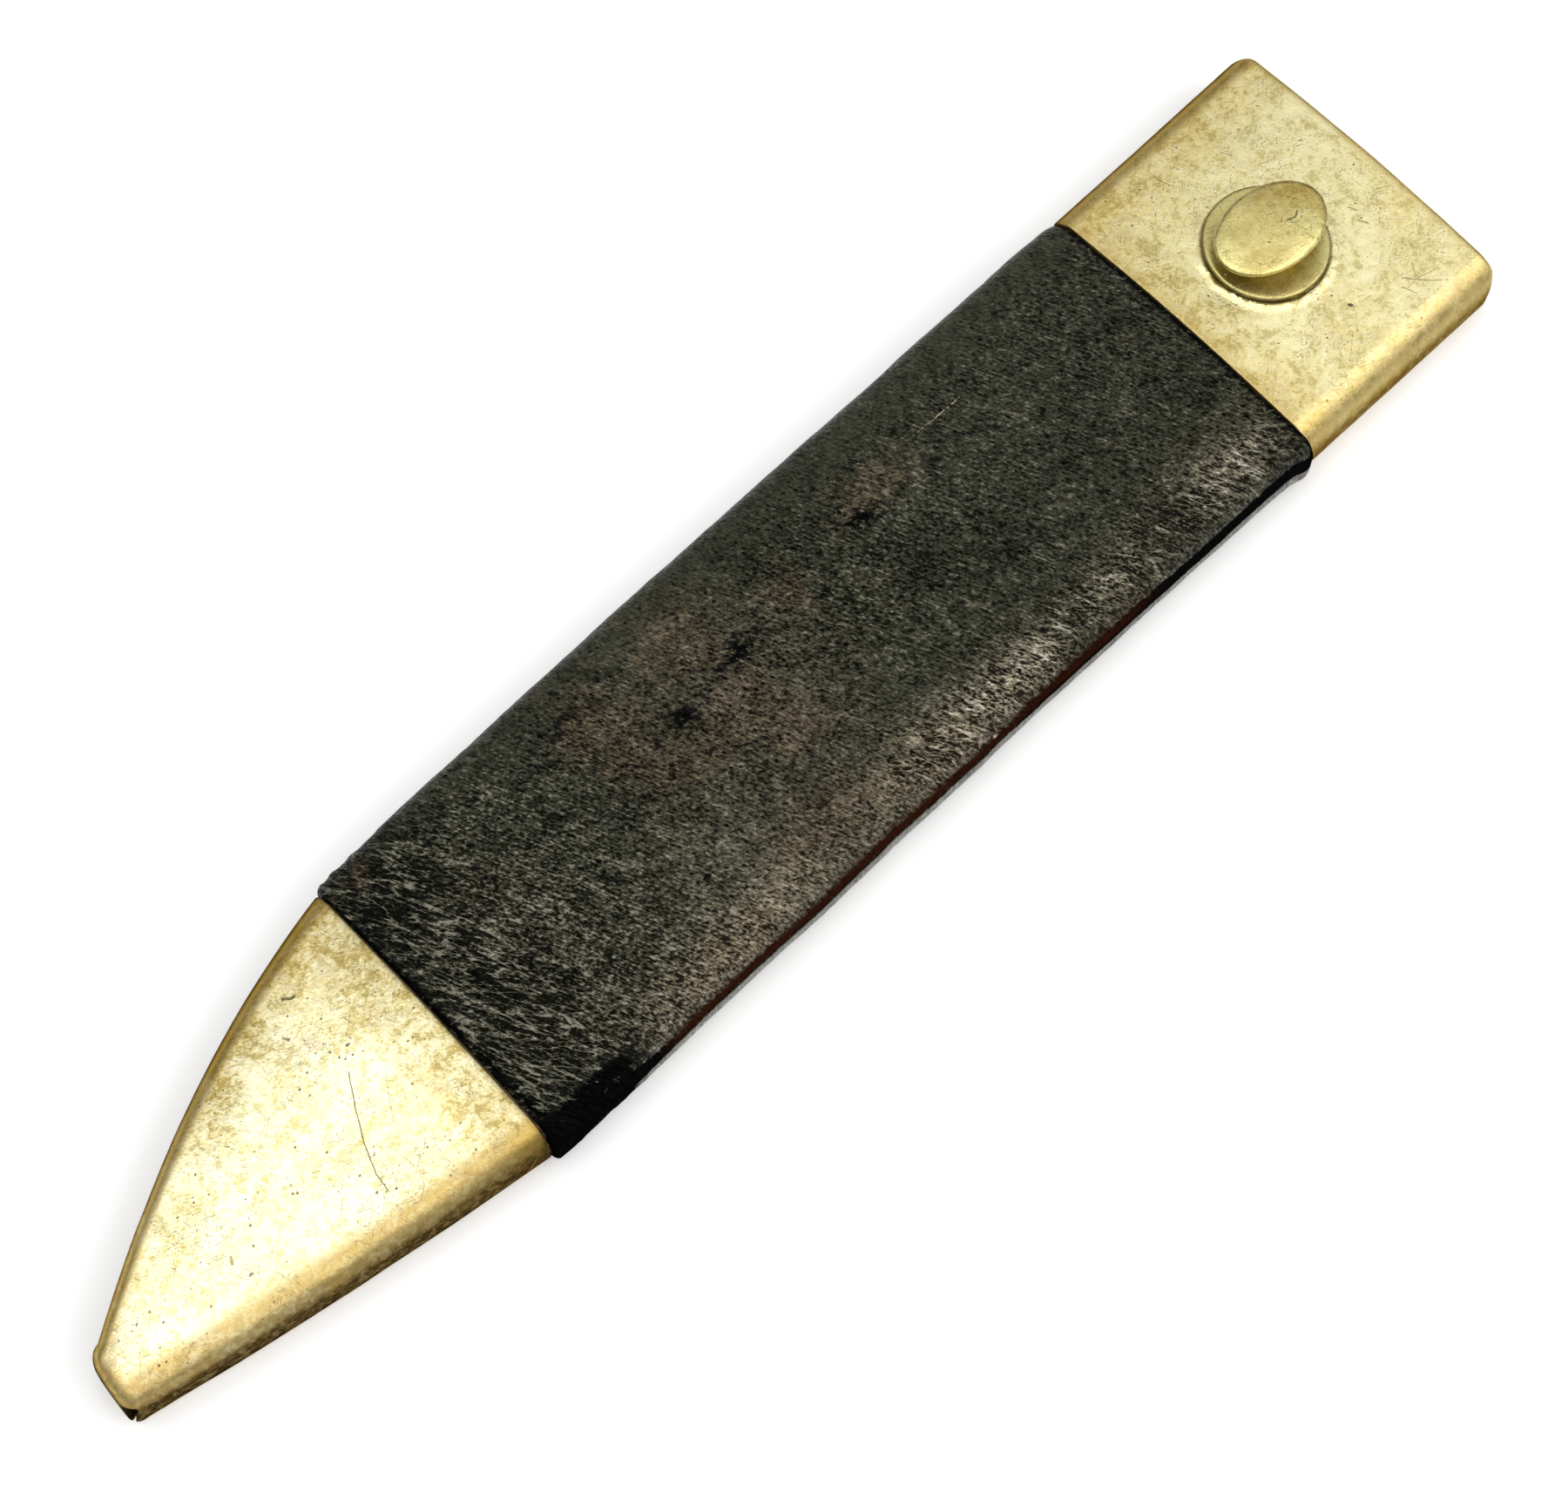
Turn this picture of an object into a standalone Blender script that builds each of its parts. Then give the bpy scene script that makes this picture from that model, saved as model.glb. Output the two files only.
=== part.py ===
"""Leather-covered knife scabbard with a brass locket (collar), frog stud and chape (tip).

The scabbard lies on its back. +X runs from the tip to the mouth, +Y points to the side
that the blade's edge lies on, and +Z points out of the front. The origin is under the
middle of the whole object. Sizes are in millimetres here and in metres in the meshes.
"""

import math

import bmesh
import bpy
from mathutils import Vector

MM = 0.001

# Lengths along X.
MOUTH_X = 100.7
LOCKET_EDGE_X = 68.4
CHAPE_EDGE_X = -49.4
TIP_X = -100.7
CHAPE_EDGE_SLANT = 0.028
TIP_SLANT = 0.11

# Half widths of the metal mounts, measured from the centre line. The middle ones are at x = 0.
MOUTH_HALF_WIDTH = 20.75
LOCKET_EDGE_HALF_WIDTH = 20.45
MIDDLE_EDGE_Y = 20.15
MIDDLE_SPINE_Y = -19.9
CHAPE_EDGE_Y = 18.7
CHAPE_SPINE_Y = -19.25

# Heights: the back is flat at zero and the front is crowned.
SHOULDER = 8.6
CROWN = 0.8
TIP_SHOULDER = 8.2
TIP_CROWN = 0.15
CORNER_RADIUS = 3.0
TIP_CORNER_RADIUS = 2.0
LEAST_RADIUS = 0.3

# Plan of the chape: two shallow arcs that run to a short blunt end.
EDGE_ARC_END = (-98.6, -1.95)
EDGE_ARC_RISE = 2.93
SPINE_ARC_END = (-99.4, -10.0)
SPINE_ARC_RISE = 0.5
TIP_END_HIGH_Y = -4.3
TIP_END_LOW_Y = -9.0
TIP_SQUEEZE = 1.5
CHAPE_STATIONS = (-58.0, -66.0, -74.0, -82.0, -90.0, -95.0)
TIP_ROLL_SHARES = (0.35, 0.7, 0.92, 1.0)

# Sheet metal, leather and wood.
SHEET = 0.8
GLUE_GAP = 0.15
SEAM_GAP = 0.15
BUTT_GAP = 0.2
CORE_INSET = SHEET + GLUE_GAP
LEATHER_PROUD = 0.15
LEATHER_BACK_Z = 0.05
LEATHER_LAP_X = -38.0
LEATHER_LAP = 0.55
CAVITY_LOW = 2.25
CAVITY_HIGH = 6.75
STRIP_WIDTH = 3.0
STRIP_GAP = 0.1
STRIP_SIDE = 0.3
FRONT_BOARD_SIDE = 0.8
BACK_BOARD_SIDE = 0.6
BACK_BOARD_RADIUS = 1.2
BOARD_EDGE = 0.04
CORE_TIP_X = -98.0
STRIP_TIP_X = -97.0

# Locket.
MOUTH_PLATE_THICKNESS = 1.2
MOUTH_ROLL = 0.5
SLOT_HALF_WIDTH = 15.6
SLOT_RADIUS = 1.0

# Frog stud: an oval head on a neck, riveted through a round base disc.
STUD_X = 82.8
STUD_Y = 0.6
STUD_TURN = math.radians(-4.5)
HEAD_HALF_LENGTH = 7.5
HEAD_HALF_WIDTH = 5.2
HEAD_UNDERSIDE = 12.75
HEAD_RIM = 13.5
HEAD_TOP = 14.2
NECK_RADIUS = 3.0
SHANK_RADIUS = 2.4
HOLE_CLEARANCE = 0.1
TAIL_RADIUS = 3.2
TAIL_HIGH = 7.95
TAIL_LOW = 7.5
TAIL_CHAMFER = 0.5
BASE_RADIUS = 7.5
BASE_LOW = 9.5
WASHER_RADIUS = 4.0
WASHER_LOW = 8.05
WASHER_HIGH = 8.45
POCKET_RADIUS = 4.5
POCKET_FLOOR = 7.3
ABOVE_FRONT = 11.0
BELOW_BACK = -1.0

# Chape seam between the front shell and the back plate, and its open corner at the tip.
SEAM_Z = 2.6
NOTCH_HALF_WIDTH = 1.0
NOTCH_TOP = 6.6
NOTCH_BOTTOM = 0.4
NOTCH_INWARD = 1.8
NOTCH_OUTWARD = 2.5

# Back seam of the leather and its whip stitch.
GROOVE_HALF_WIDTH = 1.5
GROOVE_DEPTH_Z = 0.5
SLIT_HALF_WIDTH = 0.1
THREAD_RADIUS = 0.18
STITCH_HALF_WIDTH = 1.15
STITCH_STEP = 1.6
STITCH_MARGIN = 2.0

# Pins that fix the mounts to the core.
PIN_RADIUS = 0.6
PIN_LOW = 0.05
PIN_HIGH = 4.4
LOCKET_PIN_X = 74.0
LOCKET_PIN_Y = 17.2
CHAPE_PIN_X = -55.0
CHAPE_PIN_EDGE_Y = 14.8
CHAPE_PIN_SPINE_Y = -15.3
PIN_POINT = 0.6
PIN_END_GAP = 0.2

ARC_STEPS = 5
CROWN_STEPS = 6
ROUND_STEPS = 32
CUT_PAST = 5.0


def clear_scene():
    for obj in list(bpy.data.objects):
        bpy.data.objects.remove(obj, do_unlink=True)


def make_material(name, colour, roughness, metallic):
    material = bpy.data.materials.new(name)
    material.use_nodes = True
    shader = material.node_tree.nodes["Principled BSDF"]
    shader.inputs["Base Color"].default_value = (*colour, 1.0)
    shader.inputs["Roughness"].default_value = roughness
    shader.inputs["Metallic"].default_value = metallic
    return material


def between(start, end, share):
    return start + (end - start) * share


def along(stations, x):
    """The value at x on straight lines between (x, value) stations that run from mouth to tip."""
    for (x_0, value_0), (x_1, value_1) in zip(stations, stations[1:]):
        if x >= x_1:
            return between(value_0, value_1, (x_0 - x) / (x_0 - x_1))
    return stations[-1][1]


# Plan outline of the metal, and of the leather between the mounts.


def chape_edge_y(x):
    end_x, end_y = EDGE_ARC_END
    share = (CHAPE_EDGE_X - x) / (CHAPE_EDGE_X - end_x)
    return between(CHAPE_EDGE_Y, end_y, share) + 4 * EDGE_ARC_RISE * share * (1 - share)


def chape_spine_y(x):
    end_x, end_y = SPINE_ARC_END
    share = (CHAPE_EDGE_X - x) / (CHAPE_EDGE_X - end_x)
    return between(CHAPE_SPINE_Y, end_y, share) - 4 * SPINE_ARC_RISE * share * (1 - share)


def body_edge_y(x):
    """The +Y side of the metal, carried on under the leather."""
    if x < CHAPE_EDGE_X:
        return chape_edge_y(x)
    stations = (
        (MOUTH_X, MOUTH_HALF_WIDTH),
        (LOCKET_EDGE_X, LOCKET_EDGE_HALF_WIDTH),
        (0.0, MIDDLE_EDGE_Y),
        (CHAPE_EDGE_X, CHAPE_EDGE_Y),
    )
    return along(stations, x)


def body_spine_y(x):
    """The -Y side of the metal, carried on under the leather."""
    if x < CHAPE_EDGE_X:
        return chape_spine_y(x)
    stations = (
        (MOUTH_X, -MOUTH_HALF_WIDTH),
        (LOCKET_EDGE_X, -LOCKET_EDGE_HALF_WIDTH),
        (0.0, MIDDLE_SPINE_Y),
        (CHAPE_EDGE_X, CHAPE_SPINE_Y),
    )
    return along(stations, x)


def shoulder_z(x):
    return along(((CHAPE_EDGE_X, SHOULDER), (TIP_X, TIP_SHOULDER)), min(x, CHAPE_EDGE_X))


def crown_z(x):
    return along(((CHAPE_EDGE_X, CROWN), (TIP_X, TIP_CROWN)), min(x, CHAPE_EDGE_X))


def corner_radius(x):
    return along(((CHAPE_EDGE_X, CORNER_RADIUS), (TIP_X, TIP_CORNER_RADIUS)), min(x, CHAPE_EDGE_X))


# Cross-sections: closed loops of (y, z) with the same number of points for each station.


def corner(centre_y, centre_z, radius, first_quarter):
    points = []
    for step in range(ARC_STEPS + 1):
        angle = (first_quarter + step / ARC_STEPS) * math.pi / 2
        points.append((centre_y + radius * math.cos(angle), centre_z + radius * math.sin(angle)))
    return points


def section(low_y, high_y, low_z, shoulder, crown, top_radius, low_radius):
    """A rounded box with a crowned top, as a loop that starts at its right-hand top corner."""
    top = corner(high_y - top_radius, shoulder - top_radius, top_radius, 0)
    flat_half = (high_y - low_y) / 2 - top_radius
    middle = (high_y + low_y) / 2
    for step in range(1, CROWN_STEPS):
        offset = flat_half * (1 - 2 * step / CROWN_STEPS)
        rise = crown * (1 - (offset / flat_half) ** 2)
        top.append((middle + offset, shoulder + rise))
    top += corner(low_y + top_radius, shoulder - top_radius, top_radius, 1)
    top += corner(low_y + low_radius, low_z + low_radius, low_radius, 2)
    top += corner(high_y - low_radius, low_z + low_radius, low_radius, 3)
    return top


def slant_at(x):
    """How far the sections lean from square: none at the locket, most at the tip."""
    stations = (
        (0.0, 0.0),
        (CHAPE_EDGE_X, CHAPE_EDGE_SLANT),
        (EDGE_ARC_END[0], TIP_SLANT),
    )
    return along(stations, min(x, 0.0))


def placed(loop, x):
    """A (y, z) loop as points in space, on a plane that leans about its own middle."""
    reach = max(0.0, min(1.0, (CHAPE_EDGE_X - x) / (CHAPE_EDGE_X - EDGE_ARC_END[0])))
    middle = reach * (TIP_END_HIGH_Y + TIP_END_LOW_Y) / 2
    return [Vector((x + slant_at(x) * (y - middle), y, z)) for y, z in loop]


def envelope(x, inset, edge_y=None, spine_y=None, squeeze=0.0):
    """The outer loop of the scabbard at x, drawn in by inset and flattened by squeeze."""
    high_y = (body_edge_y(x) if edge_y is None else edge_y) - inset
    low_y = (body_spine_y(x) if spine_y is None else spine_y) + inset
    radius = max(corner_radius(x) - inset, LEAST_RADIUS)
    loop = section(
        low_y,
        high_y,
        inset + squeeze,
        shoulder_z(x) - inset - squeeze,
        crown_z(x),
        radius,
        radius,
    )
    return placed(loop, x)


# Mesh building.


def add_loops(mesh, rings):
    return [[mesh.verts.new(point * MM) for point in ring] for ring in rings]


def bridge(mesh, first, second):
    count = len(first)
    for index in range(count):
        after = (index + 1) % count
        mesh.faces.new((first[index], first[after], second[after], second[index]))


def finish(name, mesh, material, helper=False):
    bmesh.ops.recalc_face_normals(mesh, faces=mesh.faces)
    data = bpy.data.meshes.new(name)
    mesh.to_mesh(data)
    mesh.free()
    obj = bpy.data.objects.new(name, data)
    bpy.context.scene.collection.objects.link(obj)
    if helper:
        obj.hide_render = True
        obj.display_type = "WIRE"
        return obj
    data.materials.append(material)
    data.shade_smooth()
    data.set_sharp_from_angle(angle=math.radians(35))
    return obj


def loft(name, rings, material=None, helper=False):
    """A closed solid through the rings, with a flat cap on each end."""
    mesh = bmesh.new()
    loops = add_loops(mesh, rings)
    for first, second in zip(loops, loops[1:]):
        bridge(mesh, first, second)
    mesh.faces.new(reversed(loops[0]))
    mesh.faces.new(loops[-1])
    return finish(name, mesh, material, helper)


def tube(name, outer_rings, inner_rings, material):
    """An open-ended tube: the outer rings, the inner rings and a lip at each end."""
    mesh = bmesh.new()
    outer = add_loops(mesh, outer_rings)
    inner = add_loops(mesh, inner_rings)
    for loops in (outer, inner):
        for first, second in zip(loops, loops[1:]):
            bridge(mesh, first, second)
    bridge(mesh, outer[0], inner[0])
    bridge(mesh, outer[-1], inner[-1])
    return finish(name, mesh, material)


def box_cutter(name, low, high):
    mesh = bmesh.new()
    bmesh.ops.create_cube(mesh, size=1.0)
    low = Vector(low) * MM
    high = Vector(high) * MM
    size = high - low
    bmesh.ops.scale(mesh, vec=size, verts=mesh.verts)
    bmesh.ops.translate(mesh, vec=(low + high) / 2, verts=mesh.verts)
    return finish(name, mesh, None, helper=True)


def round_rings(centre, levels, turn=0.0):
    """Stacked ellipses about a vertical axis; levels are (z, half length, half width)."""
    rings = []
    for z, half_x, half_y in levels:
        ring = []
        for step in range(ROUND_STEPS):
            angle = 2 * math.pi * step / ROUND_STEPS
            x = half_x * math.cos(angle)
            y = half_y * math.sin(angle)
            turned_x = x * math.cos(turn) - y * math.sin(turn)
            turned_y = x * math.sin(turn) + y * math.cos(turn)
            ring.append(Vector((centre[0] + turned_x, centre[1] + turned_y, z)))
        rings.append(ring)
    return rings


def cylinder_cutter(name, centre, radius, low_z, high_z):
    levels = ((low_z, radius, radius), (high_z, radius, radius))
    return loft(name, round_rings(centre, levels), helper=True)


def cut(obj, *cutters):
    for cutter in cutters:
        modifier = obj.modifiers.new(cutter.name, "BOOLEAN")
        modifier.operation = "DIFFERENCE"
        modifier.solver = "EXACT"
        modifier.object = cutter


# Locket.

PIN_CENTRES = {
    "locket_pin_edge": (LOCKET_PIN_X, LOCKET_PIN_Y),
    "locket_pin_spine": (LOCKET_PIN_X, -LOCKET_PIN_Y),
    "chape_pin_edge": (CHAPE_PIN_X, CHAPE_PIN_EDGE_Y),
    "chape_pin_spine": (CHAPE_PIN_X, CHAPE_PIN_SPINE_Y),
}


def pin_hole(pin_name, high_z, label):
    return cylinder_cutter(
        f"cut_{label}_{pin_name}",
        PIN_CENTRES[pin_name],
        PIN_RADIUS + HOLE_CLEARANCE,
        BELOW_BACK,
        high_z,
    )


def build_locket(brass):
    rolled = MOUTH_X - MOUTH_ROLL
    outer = [envelope(LOCKET_EDGE_X, 0.0), envelope(rolled, 0.0)]
    for share in (0.5, 1.0):
        angle = share * math.pi / 2
        inset = MOUTH_ROLL * (1 - math.cos(angle))
        outer.append(envelope(rolled + MOUTH_ROLL * math.sin(angle), inset))
    inner = [envelope(LOCKET_EDGE_X, SHEET), envelope(MOUTH_X, SHEET)]
    sleeve = tube("locket_sleeve", outer, inner, brass)
    shank_hole = cylinder_cutter(
        "cut_shank_hole", (STUD_X, STUD_Y), SHANK_RADIUS + HOLE_CLEARANCE, POCKET_FLOOR, ABOVE_FRONT
    )
    pin_names = ("locket_pin_edge", "locket_pin_spine")
    cut(sleeve, shank_hole, *(pin_hole(name, 2 * SHEET, "sleeve") for name in pin_names))

    plate_inset = SHEET + STRIP_GAP
    plate = loft(
        "locket_mouth_plate",
        [envelope(MOUTH_X - MOUTH_PLATE_THICKNESS, plate_inset), envelope(MOUTH_X, plate_inset)],
        brass,
    )
    slot_loop = section(
        -SLOT_HALF_WIDTH, SLOT_HALF_WIDTH, CAVITY_LOW, CAVITY_HIGH, 0.0, SLOT_RADIUS, SLOT_RADIUS
    )
    slot = loft(
        "cut_blade_slot",
        [placed(slot_loop, MOUTH_X - CUT_PAST), placed(slot_loop, MOUTH_X + CUT_PAST)],
        helper=True,
    )
    cut(plate, slot)


# Frog stud, its base disc and the washer that it is riveted over.


def build_stud(brass):
    centre = (STUD_X, STUD_Y)
    levels = [
        (TAIL_LOW, TAIL_RADIUS - TAIL_CHAMFER, TAIL_RADIUS - TAIL_CHAMFER),
        (TAIL_LOW + 0.2, TAIL_RADIUS, TAIL_RADIUS),
        (TAIL_HIGH, TAIL_RADIUS, TAIL_RADIUS),
        (TAIL_HIGH + 0.02, SHANK_RADIUS, SHANK_RADIUS),
        (BASE_LOW + 0.6, SHANK_RADIUS, SHANK_RADIUS),
        (BASE_LOW + 1.3, NECK_RADIUS - 0.3, NECK_RADIUS - 0.3),
        (HEAD_UNDERSIDE - 0.4, NECK_RADIUS, NECK_RADIUS),
        (HEAD_UNDERSIDE, NECK_RADIUS + 0.6, NECK_RADIUS + 0.3),
        (HEAD_UNDERSIDE + 0.1, HEAD_HALF_LENGTH - 0.4, HEAD_HALF_WIDTH - 0.4),
        (HEAD_UNDERSIDE + 0.3, HEAD_HALF_LENGTH, HEAD_HALF_WIDTH),
        (HEAD_RIM, HEAD_HALF_LENGTH, HEAD_HALF_WIDTH),
    ]
    dome = HEAD_TOP - HEAD_RIM
    for share in (0.9, 0.7, 0.45, 0.2):
        height = HEAD_RIM + dome * (1 - share**2)
        levels.append((height, HEAD_HALF_LENGTH * share, HEAD_HALF_WIDTH * share))
    loft("stud", round_rings(centre, levels, STUD_TURN), brass)

    hole = SHANK_RADIUS + HOLE_CLEARANCE
    dish = [
        (BASE_LOW, BASE_RADIUS - 0.2),
        (BASE_LOW + 0.2, BASE_RADIUS),
        (BASE_LOW + 0.5, BASE_RADIUS - 0.1),
        (BASE_LOW + 0.65, BASE_RADIUS - 0.5),
        (BASE_LOW + 0.5, BASE_RADIUS - 1.4),
        (BASE_LOW + 0.4, hole),
    ]
    outer = round_rings(centre, [(z, radius, radius) for z, radius in dish])
    inner = round_rings(centre, [(BASE_LOW, hole, hole)])
    mesh = bmesh.new()
    loops = add_loops(mesh, outer + inner)
    for first, second in zip(loops, loops[1:] + loops[:1]):
        bridge(mesh, first, second)
    finish("stud_base", mesh, brass)

    washer_levels = ((WASHER_LOW, WASHER_RADIUS), (WASHER_HIGH, WASHER_RADIUS))
    tube(
        "stud_washer",
        round_rings(centre, [(z, radius, radius) for z, radius in washer_levels]),
        round_rings(centre, [(z, hole, hole) for z, _ in washer_levels]),
        brass,
    )


# Leather cover and the thread that closes it.


def build_leather(leather, linen):
    stations = (
        (LOCKET_EDGE_X - BUTT_GAP, 0.0, 0.0),
        (LOCKET_EDGE_X / 2, 0.0, 0.0),
        (0.0, 0.0, 0.0),
        (LEATHER_LAP_X, LEATHER_LAP / 2, LEATHER_LAP / 2),
        (CHAPE_EDGE_X + BUTT_GAP, LEATHER_LAP / 2, LEATHER_LAP),
    )
    outer = []
    inner = []
    for x, edge_extra, spine_extra in stations:
        outer_loop = section(
            body_spine_y(x) - LEATHER_PROUD - spine_extra,
            body_edge_y(x) + LEATHER_PROUD + edge_extra,
            LEATHER_BACK_Z,
            shoulder_z(x) + LEATHER_PROUD,
            crown_z(x),
            CORNER_RADIUS,
            CORNER_RADIUS,
        )
        outer.append(placed(outer_loop, x))
        inner.append(envelope(x, SHEET))
    cover = tube("leather_cover", outer, inner, leather)
    groove = box_cutter(
        "cut_stitch_groove",
        (CHAPE_EDGE_X - CUT_PAST, -GROOVE_HALF_WIDTH, BELOW_BACK),
        (LOCKET_EDGE_X + CUT_PAST, GROOVE_HALF_WIDTH, GROOVE_DEPTH_Z),
    )
    slit = box_cutter(
        "cut_seam_slit",
        (CHAPE_EDGE_X - 2 * CUT_PAST, -SLIT_HALF_WIDTH, 2 * BELOW_BACK),
        (LOCKET_EDGE_X + 2 * CUT_PAST, SLIT_HALF_WIDTH, 2 * SHEET),
    )
    cut(cover, groove, slit)

    route = []
    thread_z = (LEATHER_BACK_Z + GROOVE_DEPTH_Z) / 2
    first_x = LOCKET_EDGE_X - STITCH_MARGIN
    last_x = CHAPE_EDGE_X + STITCH_MARGIN
    legs = int((first_x - last_x) / STITCH_STEP)
    bend = STITCH_STEP / 8
    for leg in range(legs + 1):
        x = first_x - leg * STITCH_STEP
        side = STITCH_HALF_WIDTH if leg % 2 else -STITCH_HALF_WIDTH
        route.append((x + bend, side, thread_z))
        route.append((x - bend, side, thread_z))
    curve = bpy.data.curves.new("seam_thread", "CURVE")
    curve.dimensions = "3D"
    curve.bevel_depth = THREAD_RADIUS * MM
    curve.bevel_resolution = 1
    curve.use_fill_caps = True
    spline = curve.splines.new("POLY")
    spline.points.add(len(route) - 1)
    for point, place in zip(spline.points, route):
        point.co = (*(Vector(place) * MM), 1.0)
    curve.materials.append(linen)
    thread = bpy.data.objects.new("seam_thread", curve)
    bpy.context.scene.collection.objects.link(thread)


# Wooden core: two boards and two strips, which leave the blade's cavity between them.

CORE_STATIONS = (LOCKET_EDGE_X, 0.0, CHAPE_EDGE_X, *CHAPE_STATIONS)


def strip_section(low_y):
    low_z = CAVITY_LOW + STRIP_GAP
    high_z = CAVITY_HIGH - STRIP_GAP
    return section(low_y, low_y + STRIP_WIDTH, low_z, high_z, 0.0, LEAST_RADIUS, LEAST_RADIUS)


def build_core(wood):
    back_of_plate = MOUTH_X - MOUTH_PLATE_THICKNESS - GLUE_GAP
    places = (back_of_plate, *CORE_STATIONS)
    front_rings = []
    back_rings = []
    for x in (*places, CORE_TIP_X):
        low_y = body_spine_y(x) + CORE_INSET
        high_y = body_edge_y(x) - CORE_INSET
        shoulder = shoulder_z(x) - CORE_INSET
        front_loop = section(
            low_y + FRONT_BOARD_SIDE,
            high_y - FRONT_BOARD_SIDE,
            CAVITY_HIGH,
            shoulder,
            crown_z(x),
            shoulder - CAVITY_HIGH - BOARD_EDGE,
            BOARD_EDGE,
        )
        back_loop = section(
            low_y + BACK_BOARD_SIDE,
            high_y - BACK_BOARD_SIDE,
            CORE_INSET,
            CAVITY_LOW,
            0.0,
            BOARD_EDGE,
            BACK_BOARD_RADIUS,
        )
        front_rings.append(placed(front_loop, x))
        back_rings.append(placed(back_loop, x))
    front = loft("core_front_board", front_rings, wood)
    back = loft("core_back_board", back_rings, wood)

    strip_side = CORE_INSET + STRIP_SIDE
    edge_rings = []
    spine_rings = []
    for x in (*places, STRIP_TIP_X):
        outside = body_edge_y(x) - strip_side
        loop = strip_section(outside - STRIP_WIDTH)
        edge_rings.append(placed(loop, x))
        outside = body_spine_y(x) + strip_side
        loop = strip_section(outside)
        spine_rings.append(placed(loop, x))
    edge = loft("core_edge_strip", edge_rings, wood)
    spine = loft("core_spine_strip", spine_rings, wood)

    pocket = cylinder_cutter("cut_stud_pocket", (STUD_X, STUD_Y), POCKET_RADIUS, POCKET_FLOOR, ABOVE_FRONT)
    cut(front, pocket)
    cut(back, *(pin_hole(name, CAVITY_LOW + STRIP_GAP, "board") for name in PIN_CENTRES))
    blind = PIN_HIGH + PIN_END_GAP
    for mount in ("locket", "chape"):
        cut(edge, pin_hole(f"{mount}_pin_edge", blind, "strip"))
        cut(spine, pin_hole(f"{mount}_pin_spine", blind, "strip"))


# Chape: a hollow pointed cap, parted at its seam into a front shell and a back plate.


def chape_rings(inset, end_inset):
    """Rings from the chape's edge to its blunt end, all drawn in by inset."""
    rings = []
    for x in (CHAPE_EDGE_X, *CHAPE_STATIONS, EDGE_ARC_END[0]):
        rings.append(envelope(x, inset))
    half_end = (TIP_END_HIGH_Y - TIP_END_LOW_Y) / 2
    roll = EDGE_ARC_END[0] - TIP_X - TIP_SLANT * half_end - end_inset
    for share in TIP_ROLL_SHARES:
        drawn = 1 - math.sqrt(max(0.0, 1 - share**2))
        x = EDGE_ARC_END[0] - roll * share
        ring = envelope(
            x,
            inset,
            edge_y=between(EDGE_ARC_END[1], TIP_END_HIGH_Y, drawn),
            spine_y=between(body_spine_y(EDGE_ARC_END[0]), TIP_END_LOW_Y, drawn),
            squeeze=TIP_SQUEEZE * drawn,
        )
        rings.append(ring)
    return rings


def build_chape(brass):
    outer = chape_rings(0.0, 0.0)
    inner = chape_rings(SHEET, SHEET)
    inner.insert(0, [point + Vector((CUT_PAST, 0, 0)) for point in inner[0]])
    hollow = loft("cut_chape_hollow", inner, helper=True)
    far_x = TIP_X - CUT_PAST
    far_y = MOUTH_HALF_WIDTH + CUT_PAST
    below_seam = box_cutter("cut_below_seam", (far_x, -far_y, BELOW_BACK), (0, far_y, SEAM_Z))
    above_low = (far_x, -far_y, SEAM_Z - SEAM_GAP)
    above_seam = box_cutter("cut_above_seam", above_low, (0, far_y, ABOVE_FRONT))

    corner_place = Vector((TIP_X + 0.6, TIP_END_LOW_Y - 0.1, 0))
    outward = Vector((-1, -1, 0)).normalized()
    across = Vector((1, -1, 0)).normalized()
    wedge = []
    for reach in (-NOTCH_INWARD, NOTCH_OUTWARD):
        base = corner_place + outward * reach
        wedge.append(
            [
                base + across * NOTCH_HALF_WIDTH + Vector((0, 0, NOTCH_TOP)),
                base - across * NOTCH_HALF_WIDTH + Vector((0, 0, NOTCH_TOP)),
                base + Vector((0, 0, NOTCH_BOTTOM)),
            ]
        )
    notch = loft("cut_open_corner", wedge, helper=True)

    front = loft("chape_front_shell", outer, brass)
    cut(front, hollow, below_seam, notch)
    back = loft("chape_back_plate", outer, brass)
    pin_names = ("chape_pin_edge", "chape_pin_spine")
    holes = [pin_hole(name, 2 * SHEET, "plate") for name in pin_names]
    cut(back, hollow, above_seam, notch, *holes)


def build_pins(brass):
    for name, centre in PIN_CENTRES.items():
        levels = (
            (PIN_LOW, PIN_RADIUS, PIN_RADIUS),
            (PIN_HIGH - PIN_POINT, PIN_RADIUS, PIN_RADIUS),
            (PIN_HIGH, PIN_RADIUS / 3, PIN_RADIUS / 3),
        )
        loft(name, round_rings(centre, levels), brass)


def main():
    clear_scene()
    brass = make_material("brass", (0.66, 0.53, 0.25), 0.35, 1.0)
    leather = make_material("dark_leather", (0.035, 0.032, 0.026), 0.5, 0.0)
    wood = make_material("core_wood", (0.42, 0.29, 0.17), 0.7, 0.0)
    linen = make_material("waxed_linen", (0.16, 0.12, 0.08), 0.7, 0.0)
    build_locket(brass)
    build_stud(brass)
    build_leather(leather, linen)
    build_core(wood)
    build_chape(brass)
    build_pins(brass)


main()
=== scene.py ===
"""Looks of the leather-covered knife scabbard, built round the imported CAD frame.

Lengths are in millimetres in the code and in metres in the meshes. +X runs from the tip
to the mouth, +Y points to the blade's edge side and +Z out of the front.
"""

import math

import bmesh
import bpy
import numpy as np
from mathutils import Matrix, Vector, noise


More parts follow.
